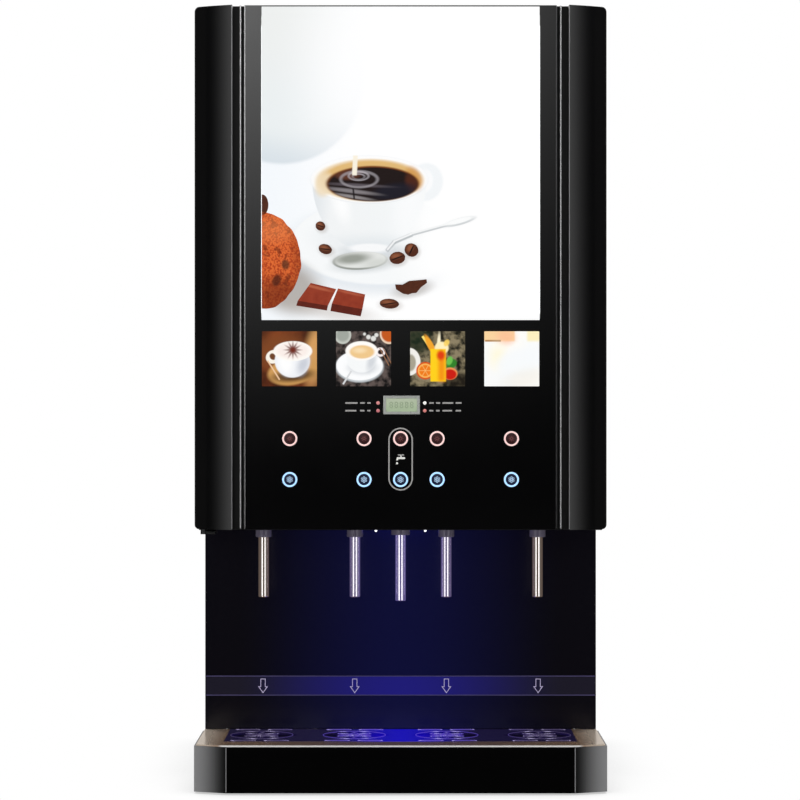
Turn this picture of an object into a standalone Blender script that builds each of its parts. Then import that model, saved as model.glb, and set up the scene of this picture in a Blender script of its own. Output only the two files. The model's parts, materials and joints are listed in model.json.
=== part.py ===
"""Table-top vending machine for hot and cold instant drinks.

Metres, +Z up, front towards -Y, +X to the viewer's right.
The origin is on the floor, below the middle of the machine.
"""
import math

import bmesh
import bpy
from mathutils import Matrix, Vector

# ---------------------------------------------------------------- driving dimensions
HEIGHT = 0.800
DEPTH = 0.540
DOOR_WIDTH = 0.420
BODY_WIDTH = 0.415
FRONT = -DEPTH / 2
BACK = DEPTH / 2

SHEET = 0.002                     # folded sheet metal
CLEAR = 0.0003                    # gap between neighbouring pieces
RUN_CLEAR = 0.0005                # gap at removable or turning pieces

BASE_TOP = 0.0485                 # top edge of the base housing
DECK_TOP = 0.0503                 # cup platform
SPLASH_Y = FRONT + 0.160          # face of the panel behind the cups
HEAD_BOTTOM = 0.266               # underside of the overhanging head
HEAD_FRONT = -0.212               # front edge of the cabinet, behind the door
CABINET_TOP = 0.797

DOOR_BOTTOM = 0.2685
DOOR_REAR = -0.216
PILLAR_INNER_X = 0.1705
HINGE_X = -0.202
HINGE_Y = -0.228
HINGE_RADIUS = 0.003

GLASS_HALF_WIDTH = 0.158
GLASS_FRONT = -0.269
GLASS_REAR = -0.265
WINDOW_HALF_WIDTH = 0.141
WINDOW_BOTTOM = 0.4807
WINDOW_TOP = 0.7985

STATION_PITCH = 0.0955            # from one drink outlet to the next
STATIONS = [(index - 1.5) * STATION_PITCH for index in range(4)]
OUTLET_Y = -0.160                 # plane of the nozzles and mixing bowls

BUTTON_RADIUS = 0.00765
BUTTON_HOLE_RADIUS = 0.0080
BUTTON_COLUMNS = [-0.1122, -0.0370, 0.0370, 0.1122]
HOT_ROW_Z = 0.3609
COLD_ROW_Z = 0.3195

WHISK_Z = 0.332
AUGER_Z = 0.477
CANISTER_FRONT = -0.200
CANISTER_REAR = -0.012
CANISTER_TOP = 0.700

FAN_CENTRE = (-0.090, 0.246, 0.130)
SWITCH_CENTRE = (0.170, 0.264, 0.050)
INLET_CENTRE = (0.122, 0.050)     # X and Z on the rear panel
LOCK_CENTRE = (0.2098, -0.233, 0.540)

INNER_X = BODY_WIDTH / 2 - SHEET - RUN_CLEAR     # half width available between the side panels
INNER_BACK = BACK - 0.006                        # rear edge of what stands inside the rear panel
NOZZLE_COLLAR = 0.0084
WATER_COLLAR = 0.0098

FACING_FRONT = (math.radians(90), 0.0, 0.0)      # outline in X and Z
FACING_SIDE = (math.radians(90), 0.0, math.radians(90))   # outline in Y and Z
FLAT = (0.0, 0.0, 0.0)                           # outline in X and Y


# ---------------------------------------------------------------- scene and materials
def clear_scene():
    for obj in list(bpy.data.objects):
        bpy.data.objects.remove(obj, do_unlink=True)


def new_collection(name):
    collection = bpy.data.collections.new(name)
    bpy.context.scene.collection.children.link(collection)
    return collection


def material(name, colour, roughness, metallic=0.0, alpha=1.0):
    result = bpy.data.materials.new(name)
    result.use_nodes = True
    shader = result.node_tree.nodes["Principled BSDF"]
    shader.inputs["Base Color"].default_value = (*colour, 1.0)
    shader.inputs["Roughness"].default_value = roughness
    shader.inputs["Metallic"].default_value = metallic
    shader.inputs["Alpha"].default_value = alpha
    return result


clear_scene()
MACHINE = new_collection("drink_vending_machine")
CUTTERS = new_collection("cutters")

BLACK_GLOSS = material("black_gloss", (0.006, 0.006, 0.007), 0.12)
BLACK_SHEET = material("black_sheet", (0.012, 0.012, 0.013), 0.35)
SPLASH_BLUE = material("splash_black", (0.006, 0.006, 0.020), 0.18)
PRINTED_GLASS = material("printed_glass", (0.004, 0.004, 0.005), 0.06)
TANK_JACKET = material("tank_jacket", (0.050, 0.052, 0.055), 0.80)
STAINLESS = material("stainless", (0.56, 0.53, 0.50), 0.22, 1.0)
GALVANISED = material("galvanised", (0.48, 0.49, 0.50), 0.45, 1.0)
POSTER = material("poster", (0.85, 0.88, 0.92), 0.30)
SILVER = material("silver_bezel", (0.70, 0.71, 0.70), 0.30, 0.6)
CLEAR_PLASTIC = material("clear_plastic", (0.75, 0.78, 0.80), 0.20, 0.0, 0.6)
WHITE_PLASTIC = material("white_plastic", (0.80, 0.80, 0.78), 0.40)
BLACK_PLASTIC = material("black_plastic", (0.020, 0.020, 0.022), 0.45)
HOT_BUTTON = material("hot_button", (0.80, 0.62, 0.60), 0.30)
COLD_BUTTON = material("cold_button", (0.50, 0.72, 0.90), 0.30)
COMPRESSOR_BLACK = material("compressor_black", (0.015, 0.015, 0.016), 0.30)


# ---------------------------------------------------------------- outlines
def arc(centre, radius, start_deg, end_deg, steps):
    """Points on a circle from one angle to another, both ends included."""
    points = []
    for step in range(steps + 1):
        angle = math.radians(start_deg + (end_deg - start_deg) * step / steps)
        points.append((centre[0] + radius * math.cos(angle), centre[1] + radius * math.sin(angle)))
    return points


def circle(centre, radius, sides):
    return arc(centre, radius, 0, 360 - 360 / sides, sides - 1)


def rectangle(low, high):
    return [(low[0], low[1]), (high[0], low[1]), (high[0], high[1]), (low[0], high[1])]


def swept(start, control, end, steps):
    """Points on a quadratic curve, both ends included."""
    points = []
    for step in range(steps + 1):
        t = step / steps
        a, b, c = (1 - t) ** 2, 2 * t * (1 - t), t ** 2
        points.append((a * start[0] + b * control[0] + c * end[0],
                       a * start[1] + b * control[1] + c * end[1]))
    return points


def strip(path, thickness):
    """Closed outline of a folded sheet: the path, and the path moved to its left."""
    normals = []
    for (x0, y0), (x1, y1) in zip(path, path[1:]):
        length = math.hypot(x1 - x0, y1 - y0)
        normals.append(Vector((-(y1 - y0) / length, (x1 - x0) / length)))
    moved = []
    for index, point in enumerate(path):
        before = normals[max(index - 1, 0)]
        after = normals[min(index, len(normals) - 1)]
        shift = (before + after) * thickness / (1 + before.dot(after))
        moved.append((point[0] + shift.x, point[1] + shift.y))
    return path + moved[::-1]


def petal(centre, length, width, turn_deg, steps):
    """Almond shape: two arcs that meet in points."""
    points = []
    for side in (1, -1):
        for step in range(steps):
            t = step / steps
            along = side * (t - 0.5) * length
            across = side * width / 2 * math.sin(math.pi * t)
            points.append((along, across))
    turn = math.radians(turn_deg)
    return [(centre[0] + x * math.cos(turn) - y * math.sin(turn),
             centre[1] + x * math.sin(turn) + y * math.cos(turn)) for x, y in points]


# ---------------------------------------------------------------- solids
def place(name, mesh, finish, location, rotation=FLAT):
    """A mesh object in the machine's collection, or in the cutters' if it has no finish."""
    obj = bpy.data.objects.new(name, mesh)
    obj.location = location
    obj.rotation_euler = rotation
    if finish is None:
        obj.hide_render = True
        obj.display_type = "WIRE"
        CUTTERS.objects.link(obj)
    else:
        mesh.materials.append(finish)
        MACHINE.objects.link(obj)
    return obj


def finish_mesh(bm, name):
    mesh = bpy.data.meshes.new(name)
    bm.to_mesh(mesh)
    bm.free()
    return mesh


def box(name, low, high, finish, origin=None, rotation=FLAT):
    """A block between two corners; its origin is the middle unless one is given."""
    low, high = Vector(low), Vector(high)
    middle = (low + high) / 2
    origin = middle if origin is None else Vector(origin)
    bm = bmesh.new()
    bmesh.ops.create_cube(bm, size=1.0)
    bmesh.ops.scale(bm, vec=high - low, verts=bm.verts)
    bmesh.ops.translate(bm, vec=middle - origin, verts=bm.verts)
    return place(name, finish_mesh(bm, name), finish, origin, rotation)


AXIS_TURN = {
    "X": Matrix.Rotation(math.radians(90), 4, "Y"),
    "Y": Matrix.Rotation(math.radians(-90), 4, "X"),
    "Z": Matrix.Identity(4),
}


def rods(name, starts, length, radius, axis, finish, sides=16):
    """One or more equal cylinders, each running from its start point along the axis."""
    bm = bmesh.new()
    for start in starts:
        move = Matrix.Translation(start) @ AXIS_TURN[axis] @ Matrix.Translation((0, 0, length / 2))
        bmesh.ops.create_cone(bm, cap_ends=True, segments=sides, radius1=radius, radius2=radius,
                              depth=length, matrix=move)
    mesh = finish_mesh(bm, name)
    mesh.shade_smooth()
    mesh.set_sharp_from_angle(angle=math.radians(40))
    return place(name, mesh, finish, (0.0, 0.0, 0.0))


def plate(name, outline, thickness, location, rotation, finish, holes=()):
    """A flat outline with holes, thickened equally to both sides of its plane."""
    curve = bpy.data.curves.new(name + "_outline", "CURVE")
    curve.dimensions = "2D"
    curve.fill_mode = "BOTH"
    curve.extrude = thickness / 2
    for points in [outline, *holes]:
        spline = curve.splines.new("POLY")
        spline.points.add(len(points) - 1)
        for point, (x, y) in zip(spline.points, points):
            point.co = (x, y, 0.0, 1.0)
        spline.use_cyclic_u = True
    drawing = bpy.data.objects.new(name + "_outline", curve)
    MACHINE.objects.link(drawing)
    drawing.location = location
    drawing.rotation_euler = rotation
    graph = bpy.context.evaluated_depsgraph_get()
    mesh = bpy.data.meshes.new_from_object(drawing.evaluated_get(graph))
    bpy.data.objects.remove(drawing, do_unlink=True)
    mesh.materials.clear()
    bm = bmesh.new()
    bm.from_mesh(mesh)
    bmesh.ops.remove_doubles(bm, verts=bm.verts, dist=1e-6)
    bmesh.ops.recalc_face_normals(bm, faces=bm.faces)
    bm.to_mesh(mesh)
    bm.free()
    mesh.name = name
    return place(name, mesh, finish, location, rotation)


def turned(name, profile, location, finish, steps=16, closed=False, rotation=FLAT):
    """A turned piece; the profile holds (radius, height) pairs, its outer side running down."""
    mesh = bpy.data.meshes.new(name)
    edges = [(index, index + 1) for index in range(len(profile) - 1)]
    if closed:
        edges.append((len(profile) - 1, 0))
    mesh.from_pydata([(radius, 0.0, height) for radius, height in profile], edges, [])
    obj = place(name, mesh, finish, location, rotation)
    screw = obj.modifiers.new("turn", "SCREW")
    screw.axis = "Z"
    screw.steps = steps
    screw.render_steps = steps
    screw.use_merge_vertices = True
    screw.merge_threshold = 1e-5
    screw.use_smooth_shade = True
    return obj


def combine(target, tool, operation):
    modifier = target.modifiers.new(operation.lower(), "BOOLEAN")
    modifier.operation = operation
    modifier.solver = "EXACT"
    modifier.object = tool


def cut(target, tool):
    combine(target, tool, "DIFFERENCE")


def join(target, tool):
    combine(target, tool, "UNION")


def hang_on(pieces, name, location):
    """An empty on a joint's axis, with the pieces as its children."""
    empty = bpy.data.objects.new(name, None)
    empty.empty_display_size = 0.02
    empty.location = location
    MACHINE.objects.link(empty)
    for piece in pieces:
        piece.parent = empty
        piece.location = Vector(piece.location) - Vector(location)


# ---------------------------------------------------------------- base
BASE_CORNER_X = 0.1767            # where the flat front turns into the swept corner
BASE_CORNER_BACK = 0.015
BASE_REAR = SPLASH_Y + SHEET
TRAY_HALF_WIDTH = 0.1808
TRAY_FRONT = -0.2308
TRAY_REAR = -0.1132


def base_path(half_width):
    """Front outline of the base, from its left rear end round to its right rear end."""
    slope = BASE_CORNER_BACK / (DOOR_WIDTH / 2 - BASE_CORNER_X)
    side_y = FRONT + slope * (half_width - BASE_CORNER_X)
    right = [(BASE_CORNER_X, FRONT), (half_width, side_y), (half_width, BASE_REAR)]
    return [(-x, y) for x, y in right[::-1]] + right


def make_floor_pan():
    front_y, corner_y = FRONT + 0.0045, FRONT + 0.020
    corner_x, foot_x, foot_y, foot_height = 0.173, 0.165, 0.215, 0.009
    right = [(INNER_X, INNER_BACK), (INNER_X, corner_y), (corner_x, front_y)]
    outline = right + [(-x, y) for x, y in right[::-1]]
    pan = plate("floor_pan", outline, SHEET, (0, 0, foot_height), FLAT, GALVANISED)
    spots = [(x, y, 0.0) for x in (-foot_x, foot_x) for y in (-foot_y, foot_y)]
    join(pan, rods("feet", spots, foot_height, 0.015, "Z", None))


def make_base_housing():
    low_z, wall = 0.002, 0.003
    outline = strip(base_path(DOOR_WIDTH / 2), wall)
    height = BASE_TOP - low_z
    plate("base_housing", outline, height, (0, 0, low_z + height / 2), FLAT, BLACK_GLOSS)


def make_base_deck():
    deck_thickness = 0.0015
    half_width = DOOR_WIDTH / 2 - 0.0022
    margin = 0.0004
    hole = rectangle((-TRAY_HALF_WIDTH - margin, TRAY_FRONT - margin),
                     (TRAY_HALF_WIDTH + margin, TRAY_REAR + margin))
    plate("base_deck", base_path(half_width), deck_thickness, (0, 0, DECK_TOP - deck_thickness / 2),
          FLAT, STAINLESS, [hole])


def make_drip_tray():
    wall = 0.0015
    low_z, rim_z = 0.0125, 0.0489
    tray = box("drip_tray", (-TRAY_HALF_WIDTH, TRAY_FRONT, low_z),
               (TRAY_HALF_WIDTH, TRAY_REAR, rim_z), BLACK_PLASTIC)
    basin = box("basin", (wall - TRAY_HALF_WIDTH, TRAY_FRONT + wall, low_z + wall),
                (TRAY_HALF_WIDTH - wall, TRAY_REAR - wall, rim_z + 0.01), None)
    cut(tray, basin)


def grille_holes():
    """Petals below each nozzle, and a row of short slots along the front and back."""
    middle_y = (TRAY_FRONT + TRAY_REAR) / 2
    holes = []
    for x in STATIONS:
        for side in (-1, 1):
            holes.append(petal((x + side * 0.0205, middle_y), 0.032, 0.034, 0, 5))
            holes.append(petal((x, middle_y + side * 0.0285), 0.026, 0.016, 90, 3))
            for turn in (45, -45):
                spot = (x + side * 0.0205, middle_y + side * math.copysign(0.0255, turn))
                holes.append(petal(spot, 0.022, 0.008, turn, 2))
    slots = 17
    for index in range(slots):
        x = (index - (slots - 1) / 2) * 0.0205
        for y in (TRAY_FRONT + 0.0075, TRAY_REAR - 0.0075):
            holes.append(rectangle((x - 0.0070, y - 0.0022), (x + 0.0070, y + 0.0022)))
    return holes


def make_drip_grille():
    low_z, thickness = 0.0492, 0.0015
    outline = rectangle((-TRAY_HALF_WIDTH, TRAY_FRONT), (TRAY_HALF_WIDTH, TRAY_REAR))
    plate("drip_grille", outline, thickness, (0, 0, low_z + thickness / 2), FLAT, STAINLESS,
          grille_holes())


# ---------------------------------------------------------------- cabinet
def make_side_panels():
    low_z, step_y = 0.005, SPLASH_Y + SHEET + RUN_CLEAR
    outline = [(BACK, low_z), (step_y, low_z), (step_y, HEAD_BOTTOM), (HEAD_FRONT, HEAD_BOTTOM),
               (HEAD_FRONT, CABINET_TOP), (BACK, CABINET_TOP)]
    for name, side in (("left_side_panel", -1), ("right_side_panel", 1)):
        x = side * (BODY_WIDTH - SHEET) / 2
        plate(name, outline, SHEET, (x, 0, 0), FACING_SIDE, BLACK_SHEET)


def make_top_cover():
    box("top_cover", (-BODY_WIDTH / 2, HEAD_FRONT, CABINET_TOP + CLEAR),
        (BODY_WIDTH / 2, BACK, HEIGHT - 0.0005), BLACK_SHEET)


def make_splash_panel():
    box("splash_panel", (-BODY_WIDTH / 2, SPLASH_Y, 0.051),
        (BODY_WIDTH / 2, SPLASH_Y + SHEET, HEAD_BOTTOM - RUN_CLEAR), SPLASH_BLUE)


def fan_slots():
    """Horizontal slots whose ends lie on the circle of the fan."""
    radius, pitch, half_slot = 0.053, 0.0115, 0.003
    holes = []
    for index in range(-4, 5):
        z = index * pitch
        reach = math.sqrt(radius ** 2 - z ** 2)
        centre = (FAN_CENTRE[0], FAN_CENTRE[2] + z)
        holes.append(rectangle((centre[0] - reach, centre[1] - half_slot),
                               (centre[0] + reach, centre[1] + half_slot)))
    return holes


def vent_slots(centre_x, low_z, count, length):
    pitch, slot = 0.013, 0.005
    holes = []
    for index in range(count):
        z = low_z + index * pitch
        holes.append(rectangle((centre_x - length / 2, z), (centre_x + length / 2, z + slot)))
    return holes


def make_rear_panel():
    panel_y = 0.2655
    switch_hole = rectangle((SWITCH_CENTRE[0] - 0.007, SWITCH_CENTRE[2] - 0.012),
                            (SWITCH_CENTRE[0] + 0.007, SWITCH_CENTRE[2] + 0.012))
    holes = fan_slots() + vent_slots(0.085, 0.100, 7, 0.110) + vent_slots(0.0, 0.640, 8, 0.240)
    outline = rectangle((CLEAR - INNER_X, 0.011), (INNER_X - CLEAR, CABINET_TOP - CLEAR))
    panel = plate("rear_panel", outline, SHEET, (0, panel_y, 0), FACING_FRONT, BLACK_SHEET,
                  [*holes, switch_hole])
    x, z = INLET_CENTRE
    half_x, half_z, wall = 0.015, 0.0115, 0.003
    front_y, rear_y = 0.247, 0.269
    join(panel, box("inlet_body", (x - half_x, front_y, z - half_z), (x + half_x, rear_y, z + half_z), None))
    cut(panel, box("inlet_socket", (x - half_x + wall, front_y + 0.004, z - half_z + wall),
                   (x + half_x - wall, rear_y + 0.010, z + half_z - wall), None))


def make_inner_chassis():
    """Deck above the cups, a bulkhead in two steps, and the motors that hang on it."""
    outline = rectangle((-INNER_X, HEAD_FRONT + 0.001), (INNER_X, INNER_BACK))
    margin = 0.0004
    collar_holes = [circle((x, OUTLET_Y), NOZZLE_COLLAR + margin, 16) for x in STATIONS]
    collar_holes.append(circle((0.0, OUTLET_Y), WATER_COLLAR + margin, 16))
    deck_z = HEAD_BOTTOM + SHEET / 2
    chassis = plate("inner_chassis", outline, SHEET, (0, 0, deck_z), FLAT, GALVANISED, collar_holes)
    riser_y, bulkhead_y, shelf_z, high_z = -0.104, -0.005, 0.443, 0.790
    steps = [(riser_y, deck_z), (riser_y, shelf_z), (bulkhead_y, shelf_z), (bulkhead_y, high_z)]
    folded = plate("folded_bulkhead", strip(steps, SHEET), 2 * INNER_X, (0, 0, 0), FACING_SIDE, None)
    join(chassis, folded)
    sunk = 0.0005
    whisk_motors = [(x, riser_y - sunk, WHISK_Z) for x in STATIONS]
    join(chassis, rods("whisk_motors", whisk_motors, 0.042, 0.018, "Y", None, 12))
    auger_motors = [(x, bulkhead_y - sunk, AUGER_Z) for x in STATIONS]
    join(chassis, rods("auger_motors", auger_motors, 0.045, 0.020, "Y", None, 12))


# ---------------------------------------------------------------- drink path
def make_nozzle(name, x, tip_z, collar_radius, collar_bottom):
    tube, bore, top_z = 0.005, 0.0035, 0.2875
    flange = collar_radius + 0.003
    flange_z = HEAD_BOTTOM + SHEET + CLEAR
    profile = [(tube, top_z), (tube, flange_z + 0.004), (flange, flange_z + 0.003),
               (flange, flange_z), (collar_radius, flange_z), (collar_radius, collar_bottom),
               (tube, collar_bottom), (tube, tip_z), (bore, tip_z), (bore, top_z)]
    turned(name, profile, (x, OUTLET_Y, 0), STAINLESS, 12, True)


def make_mixing_bowl(name, x):
    """Square funnel, whisk chamber and outlet in one piece, with a neck for the whisk's shaft."""
    section = [(0.0400, 0.4250), (0.0400, 0.3950), (0.0180, 0.3620), (0.0180, 0.3050),
               (0.0065, 0.2960), (0.0065, 0.2880), (0.0050, 0.2880), (0.0050, 0.2965),
               (0.0165, 0.3058), (0.0165, 0.3625), (0.0385, 0.3955), (0.0385, 0.4250)]
    corners = [(half * math.sqrt(2), z) for half, z in section]
    bowl = turned(name, corners, (x, OUTLET_Y, 0), CLEAR_PLASTIC, 4, True, (0, 0, math.radians(45)))
    neck = rods(name + "_neck", [(x, OUTLET_Y + 0.0175, WHISK_Z)], 0.036, 0.007, "Y", None, 12)
    join(bowl, neck)
    bore = rods(name + "_bore", [(x, OUTLET_Y + 0.010, WHISK_Z)], 0.060, 0.004, "Y", None, 12)
    cut(bowl, bore)


def make_whisk(name, x):
    """A shaft with a beater disc; its axis lies along Y."""
    half, tip, disc, shaft = 0.003, 0.007, 0.012, 0.0025
    rear = OUTLET_Y + 0.1065
    profile = [(0.0, tip), (0.003, tip), (0.003, half), (disc, half), (disc, -half),
               (shaft, -half), (shaft, rear), (0.0, rear)]
    turned(name, profile, (x, OUTLET_Y, WHISK_Z), WHITE_PLASTIC, 12, False, FACING_FRONT)


def canister_section(half_width, shoulder_z, trough_radius, top_z):
    trough = arc((0.0, AUGER_Z), trough_radius, 190, 350, 6)
    return [(-half_width, top_z), (-half_width, shoulder_z), *trough,
            (half_width, shoulder_z), (half_width, top_z)]


def make_canister(name, x):
    middle_y = (CANISTER_FRONT + CANISTER_REAR) / 2
    length = CANISTER_REAR - CANISTER_FRONT
    outer = canister_section(0.045, 0.535, 0.016, CANISTER_TOP)
    canister = plate(name, outer, length, (x, middle_y, 0), FACING_FRONT, CLEAR_PLASTIC)
    spout_y = -0.172
    join(canister, rods(name + "_spout", [(x, spout_y, 0.432)], 0.036, 0.013, "Z", None, 12))
    wall = 0.002
    inner = canister_section(0.045 - wall, 0.536, 0.016 - wall, CANISTER_TOP + 0.010)
    inside = plate(name + "_inside", inner, length - 2 * wall, (x, middle_y, 0), FACING_FRONT, None)
    cut(canister, inside)
    cut(canister, rods(name + "_throat", [(x, spout_y, 0.420)], 0.056, 0.011, "Z", None, 12))
    cut(canister, rods(name + "_shaft_hole", [(x, -0.020, AUGER_Z)], 0.020, 0.005, "Y", None, 12))


def make_auger(name, x):
    """A twisted ribbon with a drive shaft at its rear end; its axis lies along Y."""
    turns, pitch, radius = 4, 0.0445, 0.0125
    mesh = bpy.data.meshes.new(name)
    mesh.from_pydata([(-radius, 0, 0), (radius, 0, 0)], [(0, 1)], [])
    ribbon = place(name, mesh, WHITE_PLASTIC, (x, CANISTER_FRONT + 0.004, AUGER_Z),
                   (math.radians(-90), 0, 0))
    screw = ribbon.modifiers.new("twist", "SCREW")
    screw.axis = "Z"
    screw.screw_offset = pitch
    screw.iterations = turns
    screw.steps = 7
    screw.render_steps = 7
    screw.use_merge_vertices = False
    screw.use_smooth_shade = True
    solid = ribbon.modifiers.new("thickness", "SOLIDIFY")
    solid.thickness = 0.0022
    solid.offset = 0.0
    shaft = rods(name + "_shaft", [(x, CANISTER_FRONT + 0.150, AUGER_Z)], 0.0425, 0.004, "Y", None, 12)
    join(ribbon, shaft)


def make_canister_lid(name, x):
    """Hinged along its rear edge."""
    low_z, high_z = CANISTER_TOP + RUN_CLEAR, CANISTER_TOP + 0.0025
    rear = CANISTER_REAR - 0.0005
    box(name, (x - 0.044, CANISTER_FRONT, low_z), (x + 0.044, rear, high_z), WHITE_PLASTIC,
        (x, rear, (low_z + high_z) / 2))


# ---------------------------------------------------------------- water and cooling
def make_tank(name, x, radius, top_z):
    foot_z = HEAD_BOTTOM + SHEET + RUN_CLEAR
    profile = [(0.0, top_z), (radius * 0.35, top_z), (radius * 0.45, top_z - 0.012),
               (radius * 0.88, top_z - 0.020), (radius, top_z - 0.036), (radius, foot_z + 0.020),
               (radius * 0.92, foot_z + 0.008), (radius * 0.80, foot_z), (0.0, foot_z)]
    turned(name, profile, (x, 0.135, 0), TANK_JACKET)


def make_compressor():
    """Domed pot with a welded rim round its middle, hollow and open below."""
    low_z = 0.0105
    profile = [(0.0, 0.190), (0.034, 0.186), (0.058, 0.168), (0.066, 0.146), (0.066, 0.108),
               (0.070, 0.106), (0.070, 0.098), (0.066, 0.096), (0.062, 0.042), (0.048, 0.026),
               (0.048, low_z), (0.040, low_z), (0.040, 0.030), (0.054, 0.045), (0.057, 0.140),
               (0.050, 0.160), (0.0, 0.180)]
    turned("compressor", profile, (0.085, 0.115, 0), COMPRESSOR_BLACK)


def make_fan_rotor():
    """Hub and five pitched blades; its axis lies along Y."""
    half_depth = 0.010
    profile = [(0.0, half_depth), (0.015, half_depth), (0.018, half_depth - 0.003),
               (0.018, -half_depth), (0.0, -half_depth)]
    rotor = turned("fan_rotor", profile, FAN_CENTRE, BLACK_PLASTIC, 15, False, FACING_FRONT)
    blades = bmesh.new()
    count = 5
    for index in range(count):
        turn = Matrix.Rotation(math.tau * index / count, 4, "Z")
        reach = Matrix.Translation((0.0345, 0, 0))
        pitch = Matrix.Rotation(math.radians(32), 4, "X")
        size = Matrix.Diagonal((0.038, 0.026, 0.0016, 1.0))
        bmesh.ops.create_cube(blades, size=1.0, matrix=turn @ reach @ pitch @ size)
    join(rotor, place("fan_blades", finish_mesh(blades, "fan_blades"), None, FAN_CENTRE, FACING_FRONT))


def make_power_switch():
    x, y, z = SWITCH_CENTRE
    box("power_switch", (x - 0.0065, y - 0.003, z - 0.010), (x + 0.0065, y + 0.003, z + 0.010),
        BLACK_PLASTIC, SWITCH_CENTRE, (math.radians(-10), 0, 0))


# ---------------------------------------------------------------- door
def pillar_outline(side):
    """Plan of a pillar: a convex front that sweeps back, a round corner, a straight side."""
    outer = DOOR_WIDTH / 2
    front = swept((PILLAR_INNER_X, -0.2695), (0.1896, -0.2622), (0.2065, -0.2505), 5)
    corner = swept((0.2065, -0.2505), (0.2094, -0.2485), (outer, -0.2455), 3)
    points = [*front, *corner[1:], (outer, DOOR_REAR), (PILLAR_INNER_X, DOOR_REAR)]
    return [(side * x, y) for x, y in points]


def rounded_front(width, low_z, high_z, radius):
    """Front view of the door with round corners."""
    x = width / 2 - radius
    low, high = low_z + radius, high_z - radius
    return [*arc((x, low), radius, -90, 0, 4), *arc((x, high), radius, 0, 90, 4),
            *arc((-x, high), radius, 90, 180, 4), *arc((-x, low), radius, 180, 270, 4)]


def make_pillar(name, side, pocket_top):
    height = HEIGHT - DOOR_BOTTOM
    pillar = plate(name, pillar_outline(side), height, (0, 0, DOOR_BOTTOM + height / 2), FLAT,
                   BLACK_GLOSS)
    shape = rounded_front(DOOR_WIDTH, DOOR_BOTTOM, HEIGHT, 0.005)
    limit = plate(name + "_limit", shape, 0.080, (0, -0.240, 0), FACING_FRONT, None)
    combine(pillar, limit, "INTERSECT")
    pocket = [(side * x, y) for x, y in
              [(0.1735, -0.2645), (0.2070, -0.2470), (0.2070, -0.205), (0.1735, -0.205)]]
    pocket_low = DOOR_BOTTOM + 0.004
    depth = pocket_top - pocket_low
    cut(pillar, plate(name + "_pocket", pocket, depth, (0, 0, pocket_low + depth / 2), FLAT, None))
    return pillar


def make_left_pillar():
    """Holds the hinge rod in its bottom plate and in a web below the upper hinge arm."""
    notch_low, notch_high = 0.7925, 0.7965
    pillar = make_pillar("left_pillar", -1, notch_low - 0.004)
    notch = box("arm_notch", (-0.220, HINGE_Y - 0.0125, notch_low), (-0.1885, -0.205, notch_high), None)
    cut(pillar, notch)
    bore = rods("rod_bore", [(HINGE_X, HINGE_Y, 0.260)], 0.534, HINGE_RADIUS + 0.0003, "Z", None)
    cut(pillar, bore)
    return pillar


def make_right_pillar():
    pillar = make_pillar("right_pillar", 1, HEIGHT - 0.004)
    start = (LOCK_CENTRE[0] - 0.008, LOCK_CENTRE[1], LOCK_CENTRE[2])
    cut(pillar, rods("lock_bore", [start], 0.020, 0.0063, "X", None))
    return pillar


def make_door_hinge():
    low_arm = HEAD_BOTTOM - 0.0035
    high_arm = 0.7930
    arm = 0.003
    hinge = rods("door_hinge", [(HINGE_X, HINGE_Y, low_arm)], high_arm + arm - low_arm,
                 HINGE_RADIUS, "Z", STAINLESS, 12)
    for name, z in (("low_arm", low_arm), ("high_arm", high_arm)):
        join(hinge, box(name, (-0.2047, HINGE_Y - 0.0025, z), (-0.1900, -0.195, z + arm), None))


def make_door_frame():
    """Tray that carries the glass; open at the front, with a flange round the opening."""
    wall = 0.002
    front, rear = GLASS_REAR + RUN_CLEAR, DOOR_REAR - 0.0005
    half, low_z, high_z = PILLAR_INNER_X - 0.0005, DOOR_BOTTOM + 0.0005, HEIGHT - 0.001
    frame = box("door_frame", (-half, front, low_z), (half, rear, high_z), BLACK_SHEET)
    cut(frame, box("frame_cavity", (wall - half, front + wall, low_z + wall),
                   (half - wall, rear - wall, high_z - wall), None))
    cut(frame, box("frame_window", (-0.150, front - 0.01, 0.285), (0.150, front + 0.01, 0.792), None))
    return frame


def button_spots():
    """Name, X and Z of every button."""
    spots = []
    for index, x in enumerate(BUTTON_COLUMNS, start=1):
        spots.append((f"button_hot_{index}", x, HOT_ROW_Z))
        spots.append((f"button_cold_{index}", x, COLD_ROW_Z))
    spots.append(("button_hot_water", 0.0, HOT_ROW_Z))
    spots.append(("button_cold_water", 0.0, COLD_ROW_Z))
    return spots


LCD_CENTRE = (0.001, 0.395)
LCD_HALF = (0.0185, 0.00935)


def make_front_glass():
    window = rectangle((-WINDOW_HALF_WIDTH, WINDOW_BOTTOM), (WINDOW_HALF_WIDTH, WINDOW_TOP))
    x, z = LCD_CENTRE
    half_x, half_z = LCD_HALF[0] + CLEAR, LCD_HALF[1] + CLEAR
    screen = rectangle((x - half_x, z - half_z), (x + half_x, z + half_z))
    holes = [window, screen]
    holes += [circle((x, z), BUTTON_HOLE_RADIUS, 16) for _, x, z in button_spots()]
    outline = rectangle((-GLASS_HALF_WIDTH, DOOR_BOTTOM + 0.001), (GLASS_HALF_WIDTH, HEIGHT - 0.0005))
    middle_y = (GLASS_FRONT + GLASS_REAR) / 2
    return plate("front_glass", outline, GLASS_REAR - GLASS_FRONT, (0, middle_y, 0), FACING_FRONT,
                 PRINTED_GLASS, holes)


def make_poster_panel():
    half = WINDOW_HALF_WIDTH - CLEAR
    return box("poster_panel", (-half, GLASS_FRONT + CLEAR, WINDOW_BOTTOM + CLEAR),
               (half, GLASS_REAR - 0.0007, WINDOW_TOP - CLEAR), POSTER)


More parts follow.
